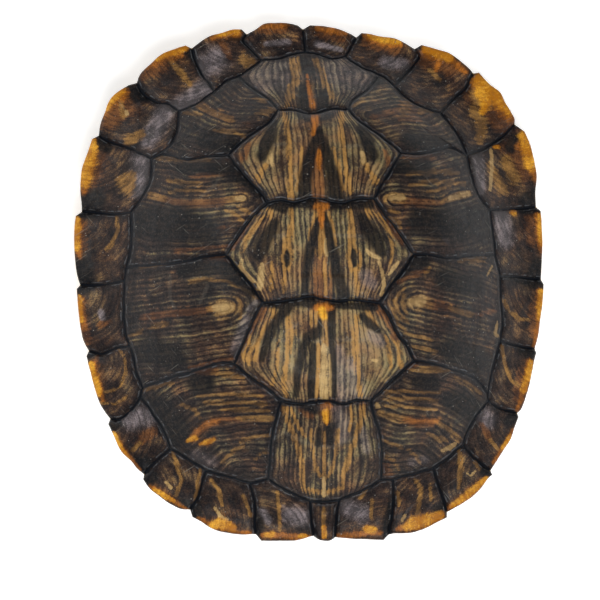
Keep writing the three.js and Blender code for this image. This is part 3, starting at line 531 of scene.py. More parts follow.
# The marks of each plate, by colour. A mark is a brush stroke through points (across, down, half
# width), in pixels of the picture, PICTURE wide, that the camera takes. The sheen strokes are not a
# colour of the horn but a painted highlight, the grey shine of the lamps on its face.
EYE, PICTURE, LENS, SENSOR = Vector((-0.0440, -0.0713, 0.5746)), 600, 177, 36
BACKWARD = Vector((-0.0733, -0.1183, 0.9903)).normalized()
SIDEWAYS = Vector((0.0214, 0.9925, 0.1201)).cross(BACKWARD).normalized()
UPWARD = BACKWARD.cross(SIDEWAYS)
back_marks = {
    "V1": {"sheen": [((338, 408, 5), (344, 425, 5), (342, 438, 4)), ((362, 430, 3), (366, 450, 3))],
        "rust": [((302, 410, 3), (310, 416, 3)), ((285, 404, 2.5), (286, 412, 2)), ((363, 405, 2.5),
            (362, 414, 2))],
        "tan": [((285, 406, 2.4), (287, 418, 2.2), (293, 434, 2.4), (299, 450, 2.6), (302, 470, 2.4),
            (304, 487, 2.2)), ((363, 408, 2.6), (360, 424, 2.4), (355, 440, 2.2), (349, 456, 2.6),
            (345, 470, 2.4), (342, 484, 2)), ((324, 432, 1.6), (324, 448, 2), (324, 474, 2.2)),
            ((305, 490, 2), (318, 492, 2.2), (333, 491, 2.2), (343, 487, 1.8)), ((311, 430, 1.6),
            (313, 455, 1.6), (317, 472, 1.6), (324, 480, 1.6)), ((338, 430, 1.6), (336, 455, 1.6),
            (331, 472, 1.6), (324, 480, 1.6)), ((291, 408, 1.6), (297, 424, 1.7), (305, 436, 1.6)),
            ((351, 405, 1.7), (353, 418, 1.7), (349, 430, 1.6))],
        "hair": [((272, 441, 1.6), (283, 432, 1.8), (300, 440, 1.8), (315, 446, 1.8), (335, 446, 1.8),
            (345, 442, 1.8), (355, 437, 1.6))],
        "cream": [((324, 478, 1.6), (324, 495, 1.8))],
        "black": [((284, 403, 2), (300, 402, 2.5), (318, 401, 2.5), (335, 402, 2), (350, 402, 2)),
            ((306, 406, 4), (314, 409, 3.5)), ((327, 423, 1.6), (329, 433, 2.5), (330, 443, 2)),
            ((319, 430, 2), (318, 444, 2.5))],
        "orange": [((323, 406, 3.5), (328, 406, 3.5))],
        "gold": [((326, 411, 2.8), (326, 418, 2.4), (327, 424, 1.3))]},
    "V2": {"sheen": [((338, 350, 4), (340, 370, 5.5), (342, 396, 6)), ((352, 362, 4), (354, 378, 6),
            (356, 392, 6)), ((372, 334, 4), (380, 342, 4))],
        "rust": [((263, 309, 4), (254, 322, 4), (248, 334, 3), (243, 346, 3.5)), ((380, 309, 3.5),
            (387, 318, 4), (392, 328, 3)), ((393, 334, 2.5), (396, 342, 2.5))],
        "tan": [((325, 318, 2.8), (326, 330, 2.6), (326, 343, 2.8)), ((316, 311, 1.8), (315, 323, 1.8)),
            ((311, 312, 1.6), (311, 325, 1.6)), ((320, 346, 3), (318, 396, 2.5)), ((288, 317, 1.8),
            (288, 326, 2.5), (291, 333, 4.5), (289, 342, 2.8), (288, 358, 2.2), (286, 370, 2.2),
            (283, 382, 2), (286, 395, 2.2)), ((357, 317, 2.4), (356, 328, 3.2), (355, 340, 2.8),
            (356, 355, 2.5), (358, 372, 2.4), (360, 395, 2.2)), ((273, 309, 2.5), (274, 318, 2.8)),
            ((270, 321, 1.6), (262, 332, 1.8), (257, 345, 1.7), (255, 360, 1.8)), ((244, 344, 2),
            (243, 352, 2.5), (246, 362, 2)), ((249, 335, 1.6), (250, 350, 1.6), (250, 364, 1.6)),
            ((278, 340, 1.6), (277, 352, 1.6), (276, 372, 1.6), (272, 385, 1.6)), ((367, 309, 2),
            (371, 318, 2.5), (377, 327, 1.6)), ((396, 342, 2), (400, 354, 2.4), (401, 366, 2.2)),
            ((386, 336, 1.6), (389, 352, 1.7), (391, 368, 1.7))],
        "hair": [((262, 341, 1.7), (284, 340, 1.8)), ((297, 340, 1.8), (320, 341, 1.8)),
            ((336, 340, 1.8), (352, 339, 1.8)), ((362, 340, 1.6), (378, 339, 1.6))],
        "cream": [((324, 346, 2.5), (324, 365, 3.2), (323, 382, 3.6), (324, 397, 4.2)), ((330, 355, 1.6),
            (331, 375, 1.8), (331, 395, 1.8)), ((372, 360, 1.6), (377, 361, 1.6))],
        "black": [((258, 304, 2), (275, 303, 3.5), (300, 302, 3.5), (312, 303, 4)), ((334, 304, 3),
            (345, 306, 2.5)), ((350, 306, 2.5), (365, 307, 3), (375, 308, 2)), ((320, 321, 1.6),
            (319, 332, 2.5)), ((317, 333, 4.5), (309, 337, 4), (304, 345, 3), (300, 362, 3),
            (297, 380, 2.5), (296, 395, 2.2)), ((314, 345, 1.6), (312, 365, 2.5), (311, 395, 2.5)),
            ((332, 308, 3), (331, 320, 2.6), (331, 335, 2.4), (333, 352, 2.2), (334, 372, 2),
            (334, 396, 2)), ((288, 308, 3.5), (279, 318, 3.5), (272, 328, 4), (266, 342, 3),
            (262, 360, 2.2)), ((362, 316, 2.5), (370, 324, 3), (378, 330, 2.5))],
        "orange": [((317, 308, 3.5), (325, 307, 4.5), (331, 308, 3))],
        "gold": [((322, 311, 3), (324, 317, 2.5))]},
    "V3": {"sheen": [((365, 276, 5), (372, 284, 4))],
        "rust": [((322, 258, 6), (321, 275, 7), (322, 296, 8)), ((246, 226, 2.5), (238, 240, 3),
            (232, 248, 2)), ((388, 222, 2), (396, 234, 2.5), (402, 244, 2))],
        "tan": [((316, 213, 1.6), (312, 228, 1.8), (309, 240, 1.6)), ((329, 213, 1.6), (333, 230, 1.8),
            (337, 245, 1.6)), ((322, 226, 2), (322, 240, 4), (321, 252, 5)), ((324, 262, 1.8),
            (326, 294, 1.8)), ((291, 208, 1.8), (292, 222, 2.2), (290, 234, 2.8), (287, 242, 4),
            (286, 248, 3)), ((284, 247, 2), (282, 258, 1.8), (284, 270, 2)), ((290, 247, 2),
            (292, 258, 1.8), (288, 270, 1.8)), ((285, 270, 2), (284, 282, 2), (284, 292, 1.8)),
            ((350, 208, 1.8), (352, 222, 2.4), (352, 236, 3.5), (351, 246, 3)), ((350, 246, 2),
            (348, 257, 1.8), (352, 270, 2)), ((356, 247, 1.8), (360, 257, 1.8), (358, 270, 1.8)),
            ((355, 270, 2.5), (357, 282, 2), (357, 294, 2)), ((270, 209, 2.5), (271, 218, 2)),
            ((367, 206, 2.5), (370, 216, 3)), ((264, 216, 1.6), (254, 228, 1.8), (246, 240, 2),
            (242, 252, 1.8)), ((378, 214, 1.6), (388, 230, 1.8), (393, 245, 1.8), (390, 262, 1.8)),
            ((271, 262, 1.6), (272, 280, 1.8), (271, 290, 1.6))],
        "hair": [((262, 237, 1.8), (285, 235, 1.8)), ((330, 235, 1.8), (350, 236, 1.8), (376, 237, 1.8))],
        "cream": [((326, 240, 1.8), (327, 255, 2)), ((243, 258, 1.8), (240, 266, 1.8), (247, 275, 1.8),
            (254, 282, 1.6)), ((262, 264, 1.8), (261, 275, 3), (259, 288, 3)), ((366, 250, 1.6),
            (372, 256, 2.2), (380, 258, 1.6)), ((379, 262, 1.6), (383, 275, 2), (384, 285, 2),
            (381, 295, 1.6)), ((388, 274, 1.6), (394, 268, 2), (398, 262, 1.8))],
        "black": [((264, 203, 2), (275, 205, 3.5), (283, 210, 2.5)), ((283, 204, 3.5), (300, 203, 3),
            (312, 204, 3.5)), ((332, 205, 4), (345, 204, 3.5), (358, 203, 4), (370, 205, 3)),
            ((318, 219, 1.6), (314, 235, 3), (310, 250, 3.5), (307, 265, 3), (304, 297, 2.5)),
            ((324, 213, 1.6), (327, 225, 2.5), (330, 240, 3), (333, 255, 3.5), (338, 275, 4),
            (344, 296, 4.5)), ((287, 252, 1.6), (287, 258, 2.5), (287, 265, 1.6)), ((354, 250, 1.6),
            (354, 257, 2.5), (355, 265, 1.6)), ((275, 222, 3), (269, 234, 5), (262, 246, 5.5),
            (258, 256, 4)), ((362, 217, 3), (369, 230, 5.5), (377, 242, 6), (382, 252, 3.5))],
        "orange": [((317, 206, 3.5), (326, 207, 3.5)), ((321, 207, 4.5), (321, 216, 3), (322, 228, 1.8))]},
    "V4": {"rust": [((319, 146, 1.5), (318, 158, 4), (318, 172, 5), (318, 199, 5.5)), ((248, 146, 3),
            (243, 158, 3)), ((385, 150, 2), (389, 165, 2))],
        "tan": [((284, 112, 2.2), (287, 125, 2.4), (289, 140, 2.4), (289, 158, 2), (290, 172, 2.2),
            (291, 190, 3), (292, 198, 3)), ((341, 113, 2.2), (342, 135, 2.5), (344, 150, 2.4),
            (346, 170, 2.4), (349, 185, 3), (350, 193, 2.5)), ((270, 162, 2), (262, 170, 2),
            (259, 178, 3.5)), ((364, 162, 2), (370, 172, 2), (375, 181, 3.5)), ((302, 148, 1.6),
            (301, 165, 1.8), (298, 190, 1.6)), ((333, 148, 1.6), (338, 165, 1.8), (343, 190, 1.8))],
        "hair": [((262, 146, 1.8), (285, 144, 1.8)), ((345, 146, 1.8), (380, 145, 1.8))],
        "cream": [((269, 151, 2), (270, 162, 3.5)), ((362, 152, 2), (364, 161, 3))],
        "black": [((319, 128, 1.5), (315, 142, 3.5), (309, 160, 4), (305, 180, 4.5), (303, 199, 5)),
            ((319, 128, 1.5), (323, 142, 3.5), (328, 160, 4), (333, 180, 5), (336, 199, 6)),
            ((274, 124, 3), (268, 140, 5), (262, 156, 4)), ((361, 128, 3), (368, 142, 5),
            (374, 156, 3.5)), ((300, 115, 3), (309, 118, 3)), ((322, 117, 3), (332, 115, 2))],
        "orange": [((315, 113, 4), (315, 122, 3.5), (313, 134, 2)), ((319, 150, 1.5), (319, 160, 3),
            (319, 168, 2))]},
    "V5": {"sheen": [((262, 80, 10), (285, 70, 12)), ((335, 72, 11), (362, 78, 10))],
        "tan": [((292, 60, 2.5), (294, 80, 3), (293, 97, 2)), ((290, 86, 2), (287, 105, 2.5)),
            ((298, 58, 2), (299, 82, 2)), ((316, 60, 2.4), (322, 74, 3), (325, 85, 2.5)),
            ((328, 86, 2.8), (332, 97, 2.2))],
        "hair": [((299, 73, 1.6), (306, 71, 1.8), (315, 73, 1.6))],
        "black": [((303, 88, 3), (304, 112, 5)), ((322, 96, 3), (324, 110, 5)), ((303, 60, 3),
            (308, 70, 5))],
        "orange": [((307, 75, 1.6), (309, 90, 2.2), (313, 106, 2.8))]},
}


def seen(point):
    """Where the camera sees a point, in pixels across and down."""
    away = point - EYE
    scale = LENS / SENSOR * PICTURE / -away.dot(BACKWARD)
    return PICTURE / 2 + away.dot(SIDEWAYS) * scale, PICTURE / 2 - away.dot(UPWARD) * scale


def painted(spots, strokes):
    """How deep each spot lies in the strokes: 1 on their middle line, 0 at their edge."""
    best = numpy.full(len(spots), UNPAINTED)
    for stroke in strokes:
        for a, b in zip(numpy.array(stroke, float), numpy.array(stroke[1:], float)):
            way = b[:2] - a[:2]
            t = numpy.clip((spots - a[:2]) @ way / (way @ way), 0, 1)
            off = numpy.linalg.norm(spots - a[:2] - numpy.outer(t, way), axis=1)
            best = numpy.maximum(best, 1 - off / mix(a[2], b[2], t))
    return best


def top_lift(gap, rim, share):
    """Rise of a horn plate above the smooth dome."""
    lift = PLATE_CROWN * (1 - (1 - share) ** CROWN_POWER)
    lift -= LEDGE_DROP * smooth(LEDGE_START, LEDGE_END, share) * (1 - smooth(LEDGE_FADE, 1, share))
    return lift - GROOVE_DEPTH * (1 - smooth(0, GROOVE_REACH, gap)) - rim_drop(rim)


def rim_drop(rim):
    """How far a face falls away at the rounded rim."""
    left_over = max(RIM_ROUND - rim, 0)
    return RIM_FALL * (RIM_ROUND - math.sqrt(RIM_ROUND ** 2 - left_over ** 2))


def plate_top(x, y, gap, rim, share):
    return dome(x, y) + top_lift(gap, rim, share)


def across(points):
    """Lines that run along the back, and near the sides of a plate bend to follow them: how far across
    it a point lies, in mm."""
    low, high = min(p[1] for p in points) + ROW_MARGIN, max(p[1] for p in points) - ROW_MARGIN
    rows = []
    for k in range(ROWS + 1):
        y = mix(low, high, k / ROWS)
        near = [p[0] for p in points if abs(p[1] - y) < ROW_REACH]
        rows.append((min(near), max(near)))
    for _ in range(3):
        ends = [rows[0], *rows, rows[-1]]
        rows = [tuple(sum(row[k] for row in ends[i:i + 3]) / 3 for k in (0, 1)) for i in range(ROWS + 1)]
    broad = sum(b - a for a, b in rows) / len(rows) / 2

    def lines(x, y):
        k = min(max((y - low) / (high - low), 0), 0.999) * ROWS
        (a, b), (c, d) = rows[int(k)], rows[int(k) + 1]
        a, b = mix(a, c, k % 1), mix(b, d, k % 1)
        share = (2 * x - a - b) / (b - a)
        return mix(x, share * broad, smooth(BEND_FROM, BEND_TO, abs(share)))

    return lines


def new_mesh():
    mesh = bmesh.new()
    for field in ("lines", "gap", "under", "pale", *FIELDS):
        mesh.verts.layers.float.new(field)
    return mesh


def add_plate(mesh, points, marks, lines, pale, insets, step, front, back):
    """Adds one horn plate. front gives the height of its outer face at a point with its seam gap, rim
    gap and share of the way in. back is the same for the inner face, followed by the insets and step
    of its rings and by 1 where it shows from below."""
    layers = mesh.verts.layers.float
    made = []

    def write(vert, note):
        x, y, gap, under = note
        vert[layers["lines"]] = lines(x, y)
        vert[layers["gap"]] = gap
        vert[layers["under"]] = under
        vert[layers["pale"]] = pale(x, y)
        made.append(vert)

    def stack(insets, step, height, under):
        return [[(place(x, y, height(x, y, gap, rim, share)), (x, y, gap, under))
                 for x, y, gap, rim, share in level] for level in rings(points, insets, step)]

    height, back_insets, back_step, under = back
    solid(mesh, stack(back_insets, back_step, height, under), stack(insets, step, front, 0), write)
    spots = numpy.array([seen(vert.co) for vert in made])
    for field in FIELDS:
        for vert, value in zip(made, painted(spots, marks.get(field, ()))):
            vert[layers[field]] = value


# How much paler each plate is than the rest of the horn, as a share of black to white.
BACK_PALE = {"V1": -0.03, "V2": 0.09, "V3": 0.04, "V4": 0.04, "V5": -0.05}
mesh = new_mesh()
for name, path in back_paths.items():
    points = outline(path)
    low, high = min(p[1] for p in points), max(p[1] for p in points)

    def front(x, y, gap, rim, share):
        along = (y - low) / (high - low)
        knob = smooth(*KNOB_RISE, along) * (1 - smooth(*KNOB_FALL, along))
        return plate_top(x, y, gap, rim, share) + KNOB_HEIGHT * knob * ridge(x, y)

    add_plate(mesh, points, back_marks[name], across(points), lambda x, y: BACK_PALE[name], TOP_INSETS,
              TOP_STEP, front, (lambda x, y, *_: dome(x, y) - HORN, HIDDEN_INSETS, HIDDEN_STEP, 0))


LINE_GAP, FINE_LINES = 0.93, 0.53  # from line to line, and the share of it for the faint ones between
TONES, MIDDLE_TONE = (0.2, 0.38, 0.48, 0.6, 0.69, 0.85), 0.6  # where the tints of the horn lie, and its mean


def draw_lines(tree, mm, at, swing, striped):
    """How pale the bare horn is: bands and fine lines of pigment, which run along at["lines"] with a
    slow and a quick wander, over patches and grain. Adds the sockets "fine", "wave" and "tone"."""
    bent = at["lines"]
    for wander, amount in (("slow", 1.6), ("quick", 0.5)):
        bent = add(tree, "ShaderNodeMath", {0: at[wander], 1: amount, 2: bent},
                   operation="MULTIPLY_ADD").outputs[0]

    # bands drawn out along the lines, broad ones and fine ones
    split = add(tree, "ShaderNodeSeparateXYZ", {0: mm})
    for word, along, scale in (("broad", 0.05, 0.8), ("fine", 0.09, 2.2)):
        far = add(tree, "ShaderNodeMath", {0: split.outputs[0], 1: along}, operation="MULTIPLY").outputs[0]
        high = add(tree, "ShaderNodeMath", {0: split.outputs[1], 1: along}, operation="MULTIPLY").outputs[0]
        grid = add(tree, "ShaderNodeCombineXYZ", {0: bent, 1: far, 2: high}).outputs[0]
        at[word] = add(tree, "ShaderNodeTexNoise", {"Vector": grid, "Scale": scale, "Detail": 2,
                                                    "Roughness": 0.6}).outputs["Fac"]

    # the lines themselves, clearer in some patches, with faint ones between them
    tone = at["pale"]
    for word, gap, most in (("wave", LINE_GAP, swing), ("ripple", LINE_GAP * FINE_LINES, 0.35 * swing)):
        wave = add(tree, "ShaderNodeMath", {0: bent, 1: math.pi / gap}, operation="MULTIPLY").outputs[0]
        wave = add(tree, "ShaderNodeMath", {0: wave}, operation="SINE").outputs[0]
        wave = add(tree, "ShaderNodeMath", {0: wave}, operation="ABSOLUTE").outputs[0]
        at[word] = add(tree, "ShaderNodeMath", {0: wave, 1: 2, 2: -1.2}, operation="MULTIPLY_ADD").outputs[0]
        share = add(tree, "ShaderNodeMapRange",
                    {0: at["patch"], 1: 0.38, 2: 0.56, 3: 0.45 * most, 4: most}).outputs[0]
        tone = add(tree, "ShaderNodeMath", {0: at[word], 1: share, 2: tone},
                   operation="MULTIPLY_ADD").outputs[0]

    # darker toward the seams, partly dark pigment and partly painted shade of the seam groove; the noises
    # are added so that their mean stays at MIDDLE_TONE
    near = add(tree, "ShaderNodeMapRange", {0: at["gap"], 1: 0.3, 2: 1.4, 3: -0.2, 4: 0}).outputs[0]
    tone = add(tree, "ShaderNodeMath", {0: tone, 1: near}, operation="ADD").outputs[0]
    parts = {"broad": 0.55 * striped, "fine": 0.22, "patch": 1 - 0.6 * striped, "grain": 0.5, "quick": 0.35}
    for word, amount in parts.items():
        tone = add(tree, "ShaderNodeMath", {0: at[word], 1: amount, 2: tone},
                   operation="MULTIPLY_ADD").outputs[0]
    excess = sum(parts.values()) / 2 - MIDDLE_TONE
    at["tone"] = add(tree, "ShaderNodeMath", {0: tone, 1: excess}, operation="SUBTRACT").outputs[0]


def bare_horn(tree, mm, at, warmth):
    """The colour of horn without marks: olive, with rusty patches."""
    olive, warm = (
        set_ramp(add(tree, "ShaderNodeValToRGB", {"Fac": at["tone"]}), dict(zip(TONES, tints))).outputs[0]
        for tints in (("#0a0c12", "#18171a", "#272423", "#453f34", "#6e6448", "#a09067"),
                      ("#0c0d12", "#1e1819", "#302321", "#4c372c", "#74543b", "#a47b50")))
    rusty = add(tree, "ShaderNodeTexNoise", {"Vector": mm, "Scale": 0.16, "Detail": 4}).outputs["Fac"]
    rusty = add(tree, "ShaderNodeMapRange", {0: rusty, 1: 0.4, 2: 0.64, 3: warmth, 4: 0.85}).outputs[0]
    return add(tree, "ShaderNodeMix", {0: rusty, 6: olive, 7: warm}, data_type="RGBA").outputs[2]


def mark_layers(tree, at, swing, marked, painted_sheen):
    """The marks, each as (share, colour). A mark fades in between two depths of its stroke, and is
    paler where the horn is. All have frayed edges, and rust and tan are combed along the lines."""
    frayed = -0.55
    for word, amount in (("fine", 1), ("grain", 0.8), ("quick", 1.3)):
        frayed = add(tree, "ShaderNodeMath", {0: at[word], 1: amount, 2: frayed},
                     operation="MULTIPLY_ADD").outputs[0]
    combed = add(tree, "ShaderNodeMath", {0: at["wave"], 1: 3.5 * swing, 2: frayed},
                 operation="MULTIPLY_ADD").outputs[0]
    body = add(tree, "ShaderNodeMapRange", {0: at["tone"], 1: 0.42, 2: 0.78}).outputs[0]
    layers = []
    for field, fade_from, fade_to, dark, light, most in (
            ("orange", -1.2, 1.2, "#33200f", "#774824", 0.7 * marked),
            ("gold", -1.4, 1.2, "#3a2010", "#93602c", 0.8),
            # sheen: a painted highlight, the grey shine of the lamps in the gutters and on the back plates
            ("sheen", -0.2, 1.5, "#4a4547", "#a3979a", painted_sheen),
            ("rust", 0.3, 1.5, "#452a1b", "#8f5c33", 0.5 + 0.3 * marked),
            ("tan", 0.4, 1.5, "#634726", "#b98a4b", 0.92 * marked),
            ("hair", 0.4, 1.5, "#6d675c", "#a39c8c", 0.14),
            ("cream", 0.6, 1.3, "#94764a", "#c6a670", 0.5 + 0.48 * marked),
            ("black", -0.1, 1.1, "#0c0e12", "#1c1a19", 0.94),
            ("orange", 0.5, 1.7, "#7c4817", "#c97a2c", 0.9 * marked),
            # gold, here and in its soft margin above: yellow pigment, and at the rim also the glow of light
            # through the thin horn, painted in
            ("gold", 0.1, 1.3, "#ad6c14", "#f6b63a", 0.3 + 0.68 * marked)):
        ragged = combed if field in ("rust", "tan") else frayed
        close = add(tree, "ShaderNodeMath", {0: at[field], 1: ragged}, operation="ADD").outputs[0]
        share = add(tree, "ShaderNodeMapRange", {0: close, 1: fade_from, 2: fade_to, 3: 0, 4: most},
                    interpolation_type="SMOOTHSTEP").outputs[0]
        tint = add(tree, "ShaderNodeMix", {0: body, 6: shade(dark), 7: shade(light)}, data_type="RGBA")
        layers.append((share, tint.outputs[2]))
    return layers


def wear_layers(tree, mm):
    """Old dirt in the pores, scratches, and dust specks of 0.1 to 0.3 mm, each as (share, colour)."""
    layers = []
    for scale, start, most, tint in ((1.3, 0.5, 0.4, "#4a3a2c"), (2.9, 0.55, 0.45, "#6f675d")):
        dirt = add(tree, "ShaderNodeTexNoise", {"Vector": mm, "Scale": scale, "Detail": 5, "Roughness": 0.75})
        dirt = add(tree, "ShaderNodeMapRange",
                   {0: dirt.outputs["Fac"], 1: start, 2: start + 0.2, 3: 0, 4: most})
        layers.append((dirt.outputs[0], shade(tint)))
    for turned, shift in ((0.5, 7), (-0.9, 31)):
        lie = add(tree, "ShaderNodeMapping",
                  {"Vector": mm, "Location": (shift, 0, 0), "Rotation": (0, 0, turned), "Scale": (7, 0.3, 7)},
                  vector_type="TEXTURE").outputs[0]
        mark = add(tree, "ShaderNodeTexNoise", {"Vector": lie, "Scale": 1.0, "Detail": 2}).outputs["Fac"]
        share = add(tree, "ShaderNodeMapRange", {0: mark, 1: 0.7, 2: 0.78, 3: 0, 4: 0.4}).outputs[0]
        layers.append((share, shade("#8d877b")))
    cells = add(tree, "ShaderNodeTexVoronoi", {"Vector": mm, "Scale": 0.95})
    kind = add(tree, "ShaderNodeSeparateColor", {0: cells.outputs["Color"]}).outputs[0]
    size = add(tree, "ShaderNodeMapRange", {0: kind, 1: 0.4, 2: 1, 3: 0, 4: 0.11}).outputs[0]
    speck = add(tree, "ShaderNodeMath", {0: cells.outputs["Distance"], 1: size},
                operation="LESS_THAN").outputs[0]
    return layers + [(speck, shade("#918b82"))]


def seam_layers(tree, at, seam_reach):
    """The seam, blue-black, and the worn hairline along it, each as (share, colour)."""
    edge = add(tree, "ShaderNodeMath", {0: at["worn"], 1: -0.4, 2: at["gap"]},
               operation="MULTIPLY_ADD").outputs[0]
    line = add(tree, "ShaderNodeFloatCurve", {1: edge})
    points = line.mapping.curves[0].points
    points[0].location, points[1].location = (0.12, 0), (0.36, 0)
    points.new(0.24, 1)
    line.mapping.update()
    hair = add(tree, "ShaderNodeMapRange", {0: at["worn"], 1: 0.47, 2: 0.63, 3: 0, 4: 0.4}).outputs[0]
    hair = add(tree, "ShaderNodeMath", {0: hair, 1: line.outputs[0]}, operation="MULTIPLY").outputs[0]
    dark = add(tree, "ShaderNodeMapRange", {0: edge, 1: -0.1, 2: seam_reach, 3: 1, 4: 0}).outputs[0]
    return [(hair, shade("#74787c")), (dark, shade("#0e131a"))]


def under_layer(tree, mm, at):
    """The underside of an edge plate: yellow horn with a dark blotch, as (share, colour)."""
    blot = add(tree, "ShaderNodeTexNoise", {"Vector": mm, "Scale": 0.14, "Detail": 3}).outputs["Fac"]
    blot = add(tree, "ShaderNodeMapRange", {0: blot, 1: 0.5, 2: 0.58}).outputs[0]
    tint = add(tree, "ShaderNodeMix", {0: blot, 6: shade("#b8924a"), 7: shade("#2b2522")}, data_type="RGBA")
    return at["under"], tint.outputs[2]


def horn(name, swing, striped, marked, painted_sheen, warmth, seam_reach):
    """Horn of the upper shell. Translucent keratin over pigment: near-black brown with fine olive-tan
    lines LINE_GAP apart, orange and yellow marks, a blue-black seam with a pale hairline beside it, and
    a satin face with grain, dust and fine scratches. Painted into that colour are a grey sheen, which is
    a painted highlight, and at the rim the yellow glow of light through the thin horn. From 0 to 1: swing
    is the contrast of the lines, striped that of the broad bands, marked the strength of the marks,
    painted_sheen that of the painted grey sheen and warmth the least share of rusty horn. seam_reach is
    how far the dark seam spreads, in mm."""
    material, tree, shader, mm = new_material(name)
    at = {field: add(tree, "ShaderNodeAttribute", attribute_name=field).outputs["Fac"]
          for field in ("lines", "gap", "under", "pale", *FIELDS)}
    for word, scale in (("slow", 0.1), ("patch", 0.3), ("quick", 0.7), ("worn", 0.9), ("grain", 4.2)):
        at[word] = add(tree, "ShaderNodeTexNoise", {"Vector": mm, "Scale": scale, "Detail": 3}).outputs["Fac"]
    draw_lines(tree, mm, at, swing, striped)
    colour = bare_horn(tree, mm, at, warmth)
    for share, over in (*mark_layers(tree, at, swing, marked, painted_sheen), *wear_layers(tree, mm),
                        *seam_layers(tree, at, seam_reach), under_layer(tree, mm, at)):
        colour = add(tree, "ShaderNodeMix", {0: share, 6: colour, 7: over}, data_type="RGBA").outputs[2]
    tree.links.new(colour, shader.inputs["Base Color"])

    gloss = add(tree, "ShaderNodeMapRange", {0: at["worn"], 1: 0.3, 2: 0.7, 3: 0.36, 4: 0.55}).outputs[0]
    tree.links.new(gloss, shader.inputs["Roughness"])
    shader.inputs["Specular IOR Level"].default_value = 0.15
    high = add(tree, "ShaderNodeMath", {0: at["grain"], 1: 0.8, 2: at["fine"]},
               operation="MULTIPLY_ADD").outputs[0]
    bump = add(tree, "ShaderNodeBump", {"Height": high, "Strength": 0.5, "Distance": 0.08 * MM})
    tree.links.new(bump.outputs["Normal"], shader.inputs["Normal"])
    return material


keratin = horn("keratin of the back, striped and satin", swing=0.13, striped=1, marked=0.95, painted_sheen=0.3,
               warmth=0, seam_reach=0.13)
finish_piece(mesh, "back_row_plates", keratin)

# ---- Side plates ---------------------------------------------------------------------------------
# Four large horn plates on each flank. Their lines wrap round an orange bar that runs out from the
# oldest part of the plate.
side_paths = {
    "C1": "v12 v0 cost1 cost2 cost3 cost4 p12 v2",
    "C2": "v2 p12 cost5 cost6 p23 v3 v23",
    "C3": "v3 p23 cost7 cost8 v4 v34",
    "C4": "v4 cost8 cost9 cost10 v5 v45",
}
side_bars = {
    "C1L": [(-10, -27.8), (-16, -27.8), (-22, -28.3), (-25, -30.7), (-32, -36)],
    "C1R": [(10.5, -27.4), (14.5, -28.6), (21.6, -28.6), (27.5, -32.2), (34, -38)],
    "C2L": [(-18, -7.5), (-24.3, -7.8), (-33.4, -7.3), (-44, -6.5)],
    "C2R": [(18, -7.6), (22.2, -8.4), (29.7, -9), (44, -11)],
    "C3L": [(-14.5, 12.6), (-21.1, 12.6), (-26.5, 13.5), (-31, 15.7), (-42, 20)],
    "C3R": [(14, 11.6), (23, 11.7), (26.4, 13.4), (30, 14.8), (42, 20)],
    "C4L": [(-10, 28.6), (-15.7, 29.3), (-18.3, 30.6), (-21, 33.4), (-27, 41)],
    "C4R": [(11, 29), (16.3, 30.8), (21, 31), (30, 38)],
}
